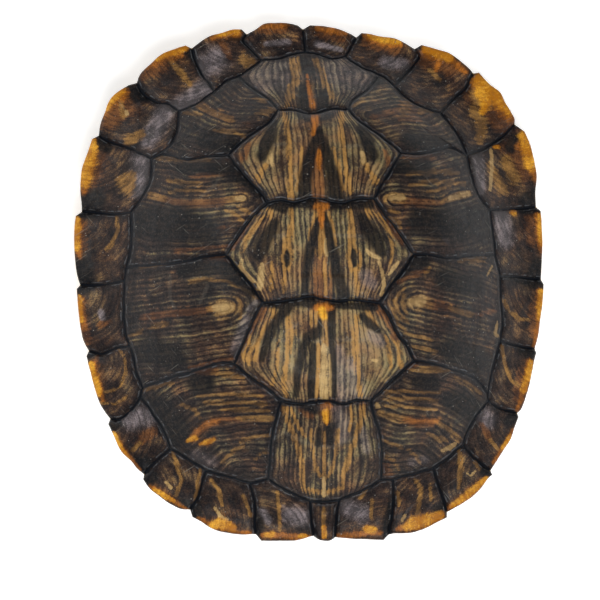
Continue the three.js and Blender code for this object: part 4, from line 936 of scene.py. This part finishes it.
# As on the back, the sheen strokes are a painted highlight, not a colour of the horn.
side_marks = {
    "C1L": {"sheen": [((195, 455, 4), (212, 462, 4))],
        "rust": [((195, 372, 2), (215, 371, 3)), ((220, 420, 2), (240, 419, 2))],
        "tan": [((138, 391, 1.6), (155, 387, 1.8), (172, 383, 1.8)), ((212, 373, 2), (228, 374, 3),
            (243, 378, 2)), ((198, 396, 1.6), (225, 394, 1.7), (262, 396, 1.6)), ((205, 403, 1.6),
            (232, 402, 1.7), (266, 404, 1.6)), ((222, 410, 1.6), (245, 409, 1.7), (268, 411, 1.6)),
            ((238, 418, 2.2), (255, 418, 2.6), (273, 419, 2)), ((240, 441, 1.6), (255, 437, 1.8),
            (272, 434, 1.7)), ((222, 463, 1.6), (232, 452, 1.8), (243, 445, 1.6)), ((255, 460, 1.7),
            (262, 452, 1.7), (270, 452, 1.6)), ((182, 405, 1.6), (195, 410, 1.7), (200, 418, 1.6))],
        "black": [((196, 383, 6), (206, 384, 6)), ((158, 410, 10), (170, 425, 11), (178, 436, 8))],
        "orange": [((218, 421, 3), (207, 424, 4), (199, 431, 3.5), (193, 437, 3))],
        "gold": [((187, 441, 1.2), (195, 438, 2)), ((200, 444, 1.2), (208, 442, 2.2), (214, 439, 1.3))]},
    "C1R": {"sheen": [((412, 462, 3), (425, 460, 3))],
        "rust": [((405, 420, 3.5), (420, 422, 3.8), (437, 421, 3.5)), ((400, 368, 2), (415, 366, 2.5)),
            ((384, 466, 4), (388, 474, 4))],
        "tan": [((385, 392, 1.6), (415, 391, 1.7), (440, 392, 1.6)), ((384, 399, 1.6), (415, 399, 1.8),
            (438, 401, 1.6)), ((386, 406, 1.6), (415, 407, 1.8), (436, 410, 1.6)), ((380, 413, 2.5),
            (392, 417, 3), (405, 420, 3.5)), ((438, 422, 3), (450, 430, 2.5), (459, 440, 2)),
            ((428, 434, 2), (438, 439, 3), (446, 440, 2)), ((410, 371, 2), (428, 369, 3), (448, 370, 2)),
            ((455, 378, 1.7), (470, 386, 2), (480, 393, 1.7)), ((382, 440, 1.7), (392, 444, 2),
            (402, 448, 1.6)), ((385, 456, 1.6), (394, 461, 1.8), (399, 470, 1.6)), ((408, 450, 1.6),
            (416, 456, 1.7), (420, 463, 1.6))],
        "cream": [((377, 405, 2.5), (379, 406, 2)), ((442, 451, 1.6), (449, 448, 2.5), (455, 444, 1.8))],
        "black": [((418, 383, 5), (432, 384, 6)), ((452, 400, 7), (468, 408, 9))],
        "orange": [((405, 420, 2.5), (420, 422, 2.8), (437, 421, 2.5))]},
    "C2L": {"sheen": [((246, 318, 3), (241, 335, 4), (236, 350, 4)), ((258, 300, 2), (248, 310, 2))],
        "rust": [((213, 309, 3), (195, 311, 4), (175, 313, 3.5), (160, 315, 4), (142, 318, 2.5)),
            ((205, 262, 1.7), (218, 258, 2.5), (230, 262, 1.7)), ((190, 368, 1.7), (215, 362, 2),
            (232, 358, 1.7))],
        "tan": [((211, 308, 4), (222, 308, 7.5), (232, 308, 5)), ((150, 328, 1.7), (160, 325, 2.5),
            (168, 324, 1.7)), ((130, 336, 1.7), (142, 331, 1.7)), ((140, 268, 1.6), (155, 266, 1.7),
            (165, 264, 1.6)), ((190, 282, 1.6), (205, 279, 1.7), (225, 281, 1.7), (243, 288, 1.7),
            (258, 298, 1.6)), ((236, 296, 1.6), (243, 306, 1.6), (240, 318, 1.6))],
        "hair": [((170, 275, 1.6), (170, 298, 1.6), (175, 308, 1.6)), ((208, 285, 1.6), (200, 303, 1.6))],
        "cream": [((217, 308, 4.5), (227, 308, 5.5))],
        "black": [((180, 272, 3), (200, 268, 5), (222, 268, 6), (238, 277, 6), (252, 291, 4)),
            ((150, 350, 10), (175, 358, 8))]},
    "C2R": {"sheen": [((386, 318, 2), (392, 335, 2.5), (402, 350, 2))],
        "rust": [((424, 304, 3), (438, 305, 3.5), (450, 307, 3)), ((476, 315, 2), (495, 311, 1.7)),
            ((398, 283, 1.7), (410, 276, 2.5), (425, 271, 2.5)), ((398, 357, 1.7), (415, 357, 1.7))],
        "tan": [((410, 302, 5), (418, 303, 6.5), (427, 304, 4.5)), ((450, 307, 2), (462, 312, 3),
            (473, 315, 2)), ((425, 275, 1.6), (430, 268, 1.7)), ((459, 261, 1.6), (472, 259, 2),
            (486, 257, 1.7)), ((470, 262, 1.6), (484, 263, 1.6)), ((398, 292, 1.6), (396, 304, 1.6),
            (400, 316, 1.6), (408, 322, 1.6)), ((404, 288, 1.6), (402, 302, 1.6), (406, 314, 1.6)),
            ((392, 300, 1.6), (396, 320, 1.6), (405, 332, 1.6), (420, 338, 1.6)), ((416, 335, 1.7),
            (424, 338, 2), (432, 341, 1.7)), ((414, 347, 1.8), (426, 349, 2.5), (436, 352, 1.8))],
        "cream": [((413, 302, 5), (420, 302, 5.5)), ((497, 322, 1), (495, 334, 2), (498, 336, 1.5)),
            ((487, 276, 0.8), (492, 266, 1))],
        "black": [((376, 286, 3), (386, 276, 5), (400, 268, 6), (412, 262, 5), (425, 262, 3.5)),
            ((450, 350, 8), (478, 360, 9)), ((446, 280, 7), (475, 285, 7))]},
    "C3L": {"rust": [((160, 199, 3), (185, 204, 3), (215, 203, 3), (228, 200, 3)), ((190, 177, 1.7),
            (215, 174, 2), (242, 175, 1.7)), ((190, 232, 1.7), (225, 228, 1.7)), ((175, 251, 1.6),
            (210, 248, 1.7), (235, 246, 1.6))],
        "tan": [((151, 195, 3.2), (163, 199, 3.4)), ((229, 200, 3.5), (243, 198, 3.5)), ((168, 180, 1.7),
            (184, 183, 1.8), (202, 184, 1.7)), ((170, 192, 1.7), (185, 190, 1.8), (205, 191, 1.7)),
            ((155, 157, 1.6), (190, 161, 1.8), (210, 160, 1.6)), ((238, 207, 1.6), (248, 212, 1.6),
            (253, 215, 1.6)), ((226, 210, 1.6), (236, 214, 1.6), (243, 222, 1.6))],
        "hair": [((221, 174, 1.6), (214, 186, 1.6), (200, 197, 1.6))],
        "cream": [((236, 199, 2), (243, 198, 2.4))],
        "black": [((180, 168, 3), (203, 167, 4), (225, 169, 4.5), (245, 180, 4.5), (260, 192, 4)),
            ((150, 222, 12), (185, 225, 13), (210, 232, 8))]},
    "C3R": {"sheen": [((435, 225, 1.6), (448, 242, 1.6))],
        "rust": [((404, 201, 3.5), (425, 203, 3.5), (442, 202, 3)), ((408, 228, 1.7), (425, 228, 1.7)),
            ((405, 156, 3), (432, 158, 3))],
        "tan": [((388, 198, 3.5), (402, 199, 4)), ((444, 200, 3), (455, 196, 3.5), (468, 194, 3)),
            ((410, 186, 1.8), (430, 181, 2.4), (464, 184, 2)), ((408, 174, 1.8), (430, 171, 2.4),
            (458, 173, 2)), ((428, 192, 1.6), (450, 187, 1.8)), ((390, 210, 2), (399, 213, 1.7)),
            ((388, 218, 1.6), (398, 222, 2.5), (400, 228, 1.7))],
        "cream": [((390, 198, 2.6), (402, 198, 3)), ((450, 198, 2), (468, 194, 2.4))],
        "black": [((420, 222, 9), (450, 226, 11), (480, 222, 11)), ((398, 168, 4), (425, 165, 5))]},
    "C4L": {"rust": [((200, 105, 3.5), (215, 114, 4), (230, 119, 3))],
        "tan": [((198, 105, 2.8), (214, 113, 3.4), (232, 120, 2.6)), ((183, 113, 1.6), (200, 114, 1.8)),
            ((256, 114, 2), (268, 111, 3), (277, 107, 2)), ((215, 130, 1.6), (235, 132, 1.6),
            (250, 140, 1.6)), ((255, 98, 1.8), (264, 102, 2.4))],
        "black": [((205, 140, 6), (230, 145, 6)), ((243, 80, 2), (256, 90, 2))]},
    "C4R": {"rust": [((372, 118, 2), (388, 113, 3), (400, 110, 3)), ((402, 110, 6), (412, 111, 6)),
            ((400, 119, 2), (420, 120, 2))],
        "tan": [((408, 103, 3.5), (404, 112, 4.5)), ((420, 111, 2.4), (431, 111, 2.4)),
            ((353, 106, 1.8), (363, 100, 2))],
        "hair": [((353, 99, 1.6), (366, 90, 1.8), (374, 78, 1.6))],
        "black": [((372, 84, 2.5), (380, 80, 3)), ((410, 140, 6), (440, 145, 6))]},
}
NARROW = 0.7  # share of their width to which the plates are pressed where their lines are drawn
FLANK_PALE, FLANK_DARK, DARK_FROM, DARK_TO = -0.1, -0.16, 14, 31  # the flanks darken outward
mesh = new_mesh()
for name, bar in side_bars.items():
    points = outline(f"{name[2].lower()} {side_paths[name[:2]]}")
    pressed = [(NARROW * x, y) for x, y in bar]
    add_plate(mesh, points, side_marks[name], lambda x, y: distance(NARROW * x, y, pressed),
              lambda x, y: mix(FLANK_PALE, FLANK_DARK, smooth(DARK_FROM, DARK_TO, abs(x))), TOP_INSETS,
              TOP_STEP, plate_top,
              (lambda x, y, *_: dome(x, y) - HORN, HIDDEN_INSETS, HIDDEN_STEP, 0))
keratin = horn("keratin of the flanks, striped and satin", swing=0.12, striped=1, marked=0.6, painted_sheen=0.4,
               warmth=0, seam_reach=0.13)
finish_piece(mesh, "side_plates", keratin)

# ---- Edge plates ---------------------------------------------------------------------------------
# Twelve plates on each side and a narrow one over the neck wrap round the rim, so each shows above and
# below. The horn thins toward the rim, where it is yellow and ends in a dark tooth. The gold strokes
# there are yellow pigment and painted glow: the light that shines through the thin horn is painted in
# as colour. The sheen strokes in the gutters are painted highlights.
UNDER_INSETS, UNDER_STEP = (0, 0.15, 0.35, 0.65, 1.2), 1.2
UNDER_GROOVE = 0.2
EDGE_PALE = -0.1
GROWTH_ALONG, GROWTH_OUTWARD = 0.9, 1.03  # an edge plate grew from a point near its rear notch
edge_paths = {
    "M1": "rim0 rim1 cost1 v0 cost0", "M2": "rim1 rim2 cost2 cost1", "M3": "rim2 rim3 cost3 cost2",
    "M4": "rim3 rim4 cost4 cost3", "M5": "rim4 rim5 cost5 p12 cost4", "M6": "rim5 rim6 cost6 cost5",
    "M7": "rim6 rim7 cost7 p23 cost6", "M8": "rim7 rim8 cost8 cost7", "M9": "rim8 rim9 cost9 cost8",
    "M10": "rim9 rim10 cost10 cost9", "M11": "rim10 rim11 cost11 v5 cost10",
    "M12": "rim11 rim12 cost12 cost11",
}
# Sheen strokes are painted highlights; the gold at the rim holds painted glow as well as yellow pigment.
edge_marks = {
    "M12L": {"sheen": [((266, 44, 1.6), (288, 42, 2.4))],
        "rust": [((262, 31, 3), (284, 30, 3))],
        "orange": [((262, 26, 3.5), (285, 25, 3.5))]},
    "M11L": {"sheen": [((215, 60, 9), (205, 66, 8))],
        "rust": [((220, 40, 3), (226, 50, 3), (230, 58, 2))],
        "tan": [((245, 59, 5), (251, 64, 5))],
        "black": [((242, 33, 3), (246, 37, 3))],
        "orange": [((212, 37, 3), (238, 33, 4))],
        "gold": [((217, 34, 2), (236, 30, 3.2))]},
    "M10L": {"sheen": [((178, 107, 6), (205, 90, 7), (218, 82, 5))],
        "rust": [((142, 74, 6), (160, 66, 7))],
        "tan": [((170, 60, 2), (180, 72, 3), (190, 84, 2.5))],
        "black": [((187, 50, 3.5), (193, 55, 4))],
        "orange": [((145, 68, 3), (158, 58, 6), (178, 53, 6))],
        "gold": [((156, 57, 3), (172, 51, 4), (184, 46, 4))]},
    "M9L": {"sheen": [((148, 140, 6), (165, 112, 6))],
        "rust": [((106, 122, 8), (124, 108, 9))],
        "tan": [((120, 100, 2), (124, 115, 3)), ((130, 141, 5), (141, 134, 4))],
        "cream": [((126, 112, 1.8), (127, 114, 1.8))],
        "black": [((130, 90, 4), (138, 96, 5), (146, 94, 5))],
        "orange": [((103, 112, 5), (114, 100, 6), (125, 94, 5))],
        "gold": [((103, 108, 4), (110, 98, 5), (121, 91, 3.5))]},
    "M8L": {"sheen": [((150, 148, 5), (143, 160, 8), (138, 190, 6))],
        "rust": [((100, 152, 7), (93, 178, 7))],
        "tan": [((120, 181, 5), (132, 175, 4), (128, 189, 6))],
        "black": [((98, 143, 4), (106, 148, 4)), ((86, 204, 7), (96, 200, 7))],
        "orange": [((92, 148, 5), (88, 165, 6), (84, 192, 3))],
        "gold": [((92, 143, 4), (87, 160, 6.5), (84, 180, 5.5))]},
    "M7L": {"rust": [((82, 225, 5), (82, 245, 5))],
        "tan": [((117, 218, 1.6), (118, 230, 2), (112, 244, 2), (106, 250, 1.6))],
        "black": [((80, 212, 5), (92, 214, 4)), ((84, 268, 7), (86, 282, 7))],
        "orange": [((79, 222, 3.5), (78, 240, 4), (79, 252, 3), (80, 258, 2))],
        "gold": [((77, 220, 2.5), (76, 235, 3.2), (77, 248, 2.5))]},
    "M6L": {"sheen": [((101, 313, 2.5), (103, 318, 2))],
        "rust": [((84, 325, 4), (88, 342, 3)), ((100, 325, 3), (110, 322, 2))],
        "black": [((84, 288, 5), (92, 284, 4))],
        "orange": [((80, 300, 3.5), (82, 318, 3.5), (84, 328, 3))],
        "gold": [((79, 298, 2.2), (79, 310, 2.8), (81, 320, 2))]},
    "M5L": {"rust": [((97, 357, 2), (98, 366, 2))],
        "tan": [((101, 392, 1.2), (112, 391, 1.4), (120, 386, 1.3), (126, 372, 1.3), (124, 356, 1.2),
            (118, 349, 1.2)), ((95, 403, 1.2), (115, 404, 1.3), (128, 396, 1.2))],
        "black": [((89, 354, 4), (94, 352, 3))],
        "orange": [((93, 365, 3.5), (97, 382, 4), (103, 400, 2))],
        "gold": [((91, 364, 2), (94, 378, 3), (99, 393, 2.5))]},
    "M4L": {"sheen": [((130, 420, 7), (148, 415, 7))],
        "rust": [((153, 432, 4), (146, 436, 4.5), (138, 444, 2.5))],
        "tan": [((140, 443, 2), (133, 450, 2))],
        "black": [((103, 424, 5), (110, 428, 5), (118, 424, 3)), ((140, 462, 6), (150, 472, 6))],
        "orange": [((114, 433, 1.8), (122, 448, 2.2), (140, 470, 1.8))],
        "gold": [((114, 434, 1.6), (120, 447, 1.8), (128, 458, 1.6))]},
    "M3L": {"tan": [((173, 452, 1.8), (177, 465, 2), (182, 480, 2.2), (176, 496, 1.8)),
            ((200, 470, 1.6), (198, 485, 1.7), (195, 500, 1.6))],
        "cream": [((166, 482, 1.6), (171, 488, 1.6))],
        "black": [((146, 480, 4), (154, 476, 4)), ((186, 505, 4), (182, 503, 3))],
        "orange": [((150, 486, 2), (168, 498, 2.4), (190, 511, 1.8))],
        "gold": [((155, 490, 1.6), (166, 497, 1.8), (174, 501, 1.6))]},
    "M2L": {"tan": [((211, 480, 1.7), (219, 490, 2), (222, 505, 1.7)), ((243, 495, 1.6),
            (247, 505, 1.8), (251, 516, 1.6))],
        "cream": [((215, 508, 1.6), (220, 516, 1.6), (228, 520, 1.6))],
        "black": [((196, 506, 4), (196, 514, 4))],
        "orange": [((198, 518, 1.8), (215, 526, 3), (235, 532, 2), (250, 533, 1.6))],
        "gold": [((212, 525, 2.5), (222, 523, 4), (233, 528, 3))]},
    "M1L": {"sheen": [((262, 512, 3), (268, 520, 3)), ((290, 515, 6), (302, 518, 6))],
        "tan": [((277, 492, 1.6), (279, 510, 1.8), (280, 530, 1.6))],
        "black": [((257, 522, 5), (258, 530, 4))],
        "orange": [((262, 535, 2), (285, 536, 3), (309, 538, 3))],
        "gold": [((266, 535, 1.7), (272, 534, 2)), ((300, 536, 1.7), (306, 536, 1.7))]},
    "N": {"tan": [((324, 508, 1.8), (324, 535, 2))],
        "gold": [((324, 527, 1.7), (324, 537, 1.7))]},
    "M1R": {"sheen": [((348, 508, 6), (362, 514, 6))],
        "tan": [((360, 498, 1.6), (366, 490, 1.6)), ((372, 500, 1.6), (371, 518, 1.6))],
        "black": [((391, 505, 2.5), (389, 522, 4), (386, 532, 3))],
        "orange": [((326, 537, 2.5), (350, 535, 3), (382, 532, 2))],
        "gold": [((366, 529, 2.5), (374, 530, 2.5))]},
    "M2R": {"tan": [((415, 480, 1.7), (421, 488, 2.4), (419, 505, 2.2), (416, 520, 2)),
            ((398, 492, 1.7), (399, 505, 1.6)), ((430, 485, 1.6), (431, 500, 1.6))],
        "cream": [((405, 515, 1.6), (402, 521, 1.6))],
        "black": [((438, 509, 4), (442, 512, 4))],
        "orange": [((397, 529, 2), (418, 526, 4), (442, 518, 2))],
        "gold": [((406, 526, 3), (418, 522, 5), (430, 519, 4), (441, 515, 3))]},
    "M3R": {"rust": [((462, 500, 4), (482, 482, 4))],
        "tan": [((459, 450, 2), (461, 468, 2.6), (458, 488, 1.8)), ((475, 462, 1.6), (480, 470, 1.6))],
        "cream": [((467, 473, 1), (471, 476, 1.2), (476, 470, 1))],
        "black": [((486, 470, 5), (484, 464, 3))],
        "orange": [((446, 510, 1.8), (468, 497, 3.5), (487, 480, 2))],
        "gold": [((452, 506, 1.8), (466, 496, 2.5), (478, 486, 2.5), (486, 478, 1.8))]},
    "M4R": {"sheen": [((480, 410, 6), (488, 420, 6))],
        "rust": [((481, 424, 2), (486, 432, 3), (491, 442, 2))],
        "tan": [((490, 440, 1.8), (497, 448, 1.8))],
        "black": [((514, 418, 4), (507, 421, 3))],
        "orange": [((513, 430, 1.8), (505, 446, 2), (493, 463, 1.8))],
        "gold": [((510, 436, 1.6), (503, 448, 1.6))]},
    "M5R": {"rust": [((522, 370, 4), (516, 400, 3))],
        "tan": [((502, 346, 1.6), (504, 362, 1.8), (511, 380, 1.8), (520, 386, 1.6))],
        "black": [((530, 353, 5), (522, 352, 3))],
        "orange": [((529, 362, 3.5), (526, 380, 4), (520, 402, 2.5), (517, 412, 1.8))],
        "gold": [((531, 362, 2), (528, 375, 3), (524, 390, 2.5))]},
    "M6R": {"rust": [((534, 305, 4), (533, 335, 4))],
        "tan": [((504, 300, 1.6), (510, 312, 1.8), (520, 319, 1.8), (530, 320, 1.6))],
        "black": [((538, 284, 5), (526, 280, 4), (512, 277, 3))],
        "orange": [((539, 292, 3.5), (540, 310, 4), (538, 330, 3), (534, 346, 2))],
        "gold": [((541, 292, 2.2), (541, 306, 3), (540, 318, 2))]},
    "M7R": {"sheen": [((500, 210, 6), (505, 240, 6))],
        "rust": [((530, 218, 5), (532, 240, 5))],
        "black": [((536, 207, 6), (524, 209, 4)), ((538, 266, 6), (536, 274, 6))],
        "orange": [((537, 215, 3), (539, 232, 3.5), (541, 252, 2.2))],
        "gold": [((540, 216, 2), (541, 230, 2.5), (542, 244, 1.8)), ((512, 212, 2), (514, 213, 2))]},
    "M8R": {"sheen": [((478, 160, 4), (480, 190, 4))],
        "rust": [((512, 150, 9), (524, 172, 8))],
        "tan": [((506, 160, 5), (514, 178, 6)), ((490, 165, 3), (503, 190, 5))],
        "cream": [((491, 150, 1.6), (492, 168, 1.8), (490, 190, 1.6))],
        "black": [((514, 138, 4), (510, 148, 4)), ((536, 196, 6), (526, 200, 5))],
        "orange": [((520, 146, 5), (530, 158, 6), (536, 180, 3))],
        "gold": [((524, 136, 4), (530, 150, 6), (532, 164, 5)), ((494, 147, 1.2), (499, 147, 1.5))]},
    "M9R": {"rust": [((474, 92, 8), (505, 125, 8))],
        "tan": [((474, 92, 5), (482, 104, 6), (494, 104, 4)), ((474, 110, 5), (482, 125, 5),
            (480, 140, 4)), ((483, 120, 3), (481, 138, 4))],
        "black": [((474, 75, 4), (468, 84, 4))],
        "orange": [((478, 84, 8), (494, 98, 9), (512, 118, 6))],
        "gold": [((481, 80, 6), (495, 91, 9), (511, 108, 6)), ((480, 92, 4), (487, 101, 5),
            (482, 112, 2.5))]},
    "M10R": {"rust": [((424, 60, 6), (450, 70, 6))],
        "tan": [((430, 70, 2), (440, 80, 2))],
        "black": [((420, 48, 3), (416, 52, 3))],
        "orange": [((424, 53, 5), (440, 60, 4), (436, 70, 2)), ((450, 60, 3.5), (466, 72, 2.6))],
        "gold": [((426, 49, 3.5), (438, 53, 4), (450, 58, 3))]},
    "M11R": {"sheen": [((385, 62, 4), (403, 64, 4))],
        "rust": [((366, 43, 4), (394, 50, 5))],
        "black": [((360, 36, 3), (357, 40, 3))],
        "orange": [((365, 36, 3.5), (384, 43, 4), (400, 45, 3))],
        "gold": [((370, 35, 2.4), (382, 39, 3), (398, 42, 2))]},
    "M12R": {"sheen": [((317, 44, 2.4), (341, 50, 1.6))],
        "rust": [((320, 33, 4), (342, 38, 4))],
        "orange": [((318, 28, 3.2), (332, 30, 4), (345, 33, 3))]},
}


def edge_under(x, y, gap, rim, share):
    return dome(x, y) - wall(x, y) + UNDER_GROOVE * (1 - smooth(0, GROOVE_REACH, gap)) + rim_drop(rim)


mesh = new_mesh()
for name, marks in edge_marks.items():
    plate, side = (name, "") if name == "N" else (name[:-1], name[-1].lower())
    if side:
        points = outline(f"{side} {edge_paths[plate]}")
        corners = left if side == "l" else right
        near, far = (Vector(corners[word]) for word in edge_paths[plate].split()[:2])
        centre = near.lerp(far, GROWTH_ALONG) * GROWTH_OUTWARD

        def lines(x, y):
            return math.hypot(x - centre.x, y - centre.y)
    else:
        points = outline("l cost0 rim0 r rim0 cost0")

        def lines(x, y):
            return x
    add_plate(mesh, points, marks, lines, lambda x, y: EDGE_PALE, TOP_INSETS, TOP_STEP, plate_top,
              (edge_under, UNDER_INSETS, UNDER_STEP, 1))
keratin = horn("keratin of the rim, thin and satin", swing=0.05, striped=0.4, marked=1, painted_sheen=0.85,
               warmth=0.45, seam_reach=0.08)
finish_piece(mesh, "edge_plates", keratin)

# ---- Lower plates --------------------------------------------------------------------------------
# The lower shell's horn: six pairs of flat plates that meet on the middle line, with the bridges that
# turn up to the edge plates. It is yellow, with a dark blotch on each plate.
lower_paths = ("m0 e1 m1", "m1 e1 e2 m2", "m2 e2 e3 m3", "m3 e3 e4 m4", "m4 e4 e5 m5", "m5 e5 m6")
FLOOR_GROOVE, FLOOR_STEP = 0.3, 1.5


def lower_front(x, y, gap, rim, share):
    return ground_face(x, y) + FLOOR_GROOVE * (1 - smooth(0, GROOVE_REACH, min(gap, rim)))


mesh = new_mesh()
for path in lower_paths:
    for side in ("lr", "ll"):
        points = outline(f"{side} {path}")
        cx, cy = sum(p[0] for p in points) / len(points), sum(p[1] for p in points) / len(points)
        add_plate(mesh, points, {}, lambda x, y: math.hypot(x - cx, y - cy), lambda x, y: 0, UNDER_INSETS,
                  FLOOR_STEP, lower_front,
                  (lambda x, y, *_: ground_face(x, y) + HORN, HIDDEN_INSETS, HIDDEN_STEP, 0))

# Waxy yellow horn. The blotch lies round the middle of a plate, from which its lines are counted.
yellow, tree, shader, mm = new_material("keratin of the lower shell, waxy and yellow")
blot = add(tree, "ShaderNodeTexNoise", {"Vector": mm, "Scale": 0.35, "Detail": 4}).outputs["Fac"]
mark = add(tree, "ShaderNodeAttribute", attribute_name="lines").outputs["Fac"]
mark = add(tree, "ShaderNodeMapRange", {0: mark, 1: 0, 2: 9, 3: 1.2, 4: -0.8}).outputs[0]
mark = add(tree, "ShaderNodeMath", {0: blot, 1: 2.2, 2: mark}, operation="MULTIPLY_ADD").outputs[0]
mark = add(tree, "ShaderNodeMapRange", {0: mark, 1: 1.25, 2: 1.5, 3: 0, 4: 0.92}).outputs[0]
tint = add(tree, "ShaderNodeValToRGB", {"Fac": blot})
set_ramp(tint, {0.3: "#a67c37", 0.5: "#c29a4e", 0.7: "#d3b06a"})
colour = add(tree, "ShaderNodeMix", {0: mark, 6: tint.outputs[0], 7: shade("#2c2623")}, data_type="RGBA")
gap = add(tree, "ShaderNodeAttribute", attribute_name="gap").outputs["Fac"]
dark = add(tree, "ShaderNodeMapRange", {0: gap, 1: 0.1, 2: 0.4, 3: 0.8, 4: 0}).outputs[0]
colour = add(tree, "ShaderNodeMix", {0: dark, 6: colour.outputs[2], 7: shade("#3a2f25")}, data_type="RGBA")
tree.links.new(colour.outputs[2], shader.inputs["Base Color"])
shader.inputs["Roughness"].default_value = 0.42
bump = add(tree, "ShaderNodeBump", {"Height": blot, "Strength": 0.3, "Distance": 0.1 * MM})
tree.links.new(bump.outputs["Normal"], shader.inputs["Normal"])
finish_piece(mesh, "lower_plates", yellow)

# ---- Studio --------------------------------------------------------------------------------------
# A white table under soft light from all round, and a camera almost straight above.
mesh = bmesh.new()
bmesh.ops.create_grid(mesh, x_segments=1, y_segments=1, size=1.5)
data = bpy.data.meshes.new("table")
mesh.to_mesh(data)
mesh.free()
table = bpy.data.objects.new("table", data)
bpy.context.scene.collection.objects.link(table)
paint, tree, shader, mm = new_material("white matt paint")
shader.inputs["Base Color"].default_value = shade("#f7f7f7")
shader.inputs["Roughness"].default_value = 0.9
shader.inputs["Emission Color"].default_value = shade("#ffffff")
shader.inputs["Emission Strength"].default_value = 0.5
data.materials.append(paint)

world = bpy.data.worlds.new("white room")
bpy.context.scene.world = world
world.use_nodes = True
sky = world.node_tree.nodes["Background"]
turn = add(world.node_tree, "ShaderNodeTexCoord").outputs["Generated"]
height = add(world.node_tree, "ShaderNodeSeparateXYZ", {0: turn}).outputs["Z"]
walls = add(world.node_tree, "ShaderNodeMapRange", {0: height, 1: 0.2, 2: 0.8, 3: 0.5, 4: 0.7}).outputs[0]
world.node_tree.links.new(walls, sky.inputs["Strength"])


def softbox(name, at, size, watts):
    """A square light that faces the shell."""
    light = bpy.data.lights.new(name, "AREA")
    light.shape, light.size, light.energy = "SQUARE", size, watts
    lamp = bpy.data.objects.new(name, light)
    lamp.location = at
    lamp.rotation_euler = (Vector((0, 0, 0.02)) - Vector(at)).to_track_quat("-Z", "Y").to_euler()
    bpy.context.scene.collection.objects.link(lamp)


softbox("front box", (0.05, -0.45, 0.9), 0.4, 6.5)
softbox("left box", (-0.55, 0.25, 0.45), 0.35, 2.5)
softbox("right box", (0.6, -0.1, 0.5), 0.35, 1.5)

camera = bpy.data.cameras.new("camera")
camera.lens, camera.sensor_width = LENS, SENSOR
view = bpy.data.objects.new("camera", camera)
bpy.context.scene.collection.objects.link(view)
view.matrix_world = Matrix.Translation(EYE) @ Matrix((SIDEWAYS, UPWARD, BACKWARD)).transposed().to_4x4()
bpy.context.scene.camera = view
bpy.context.scene.view_settings.view_transform = "Standard"
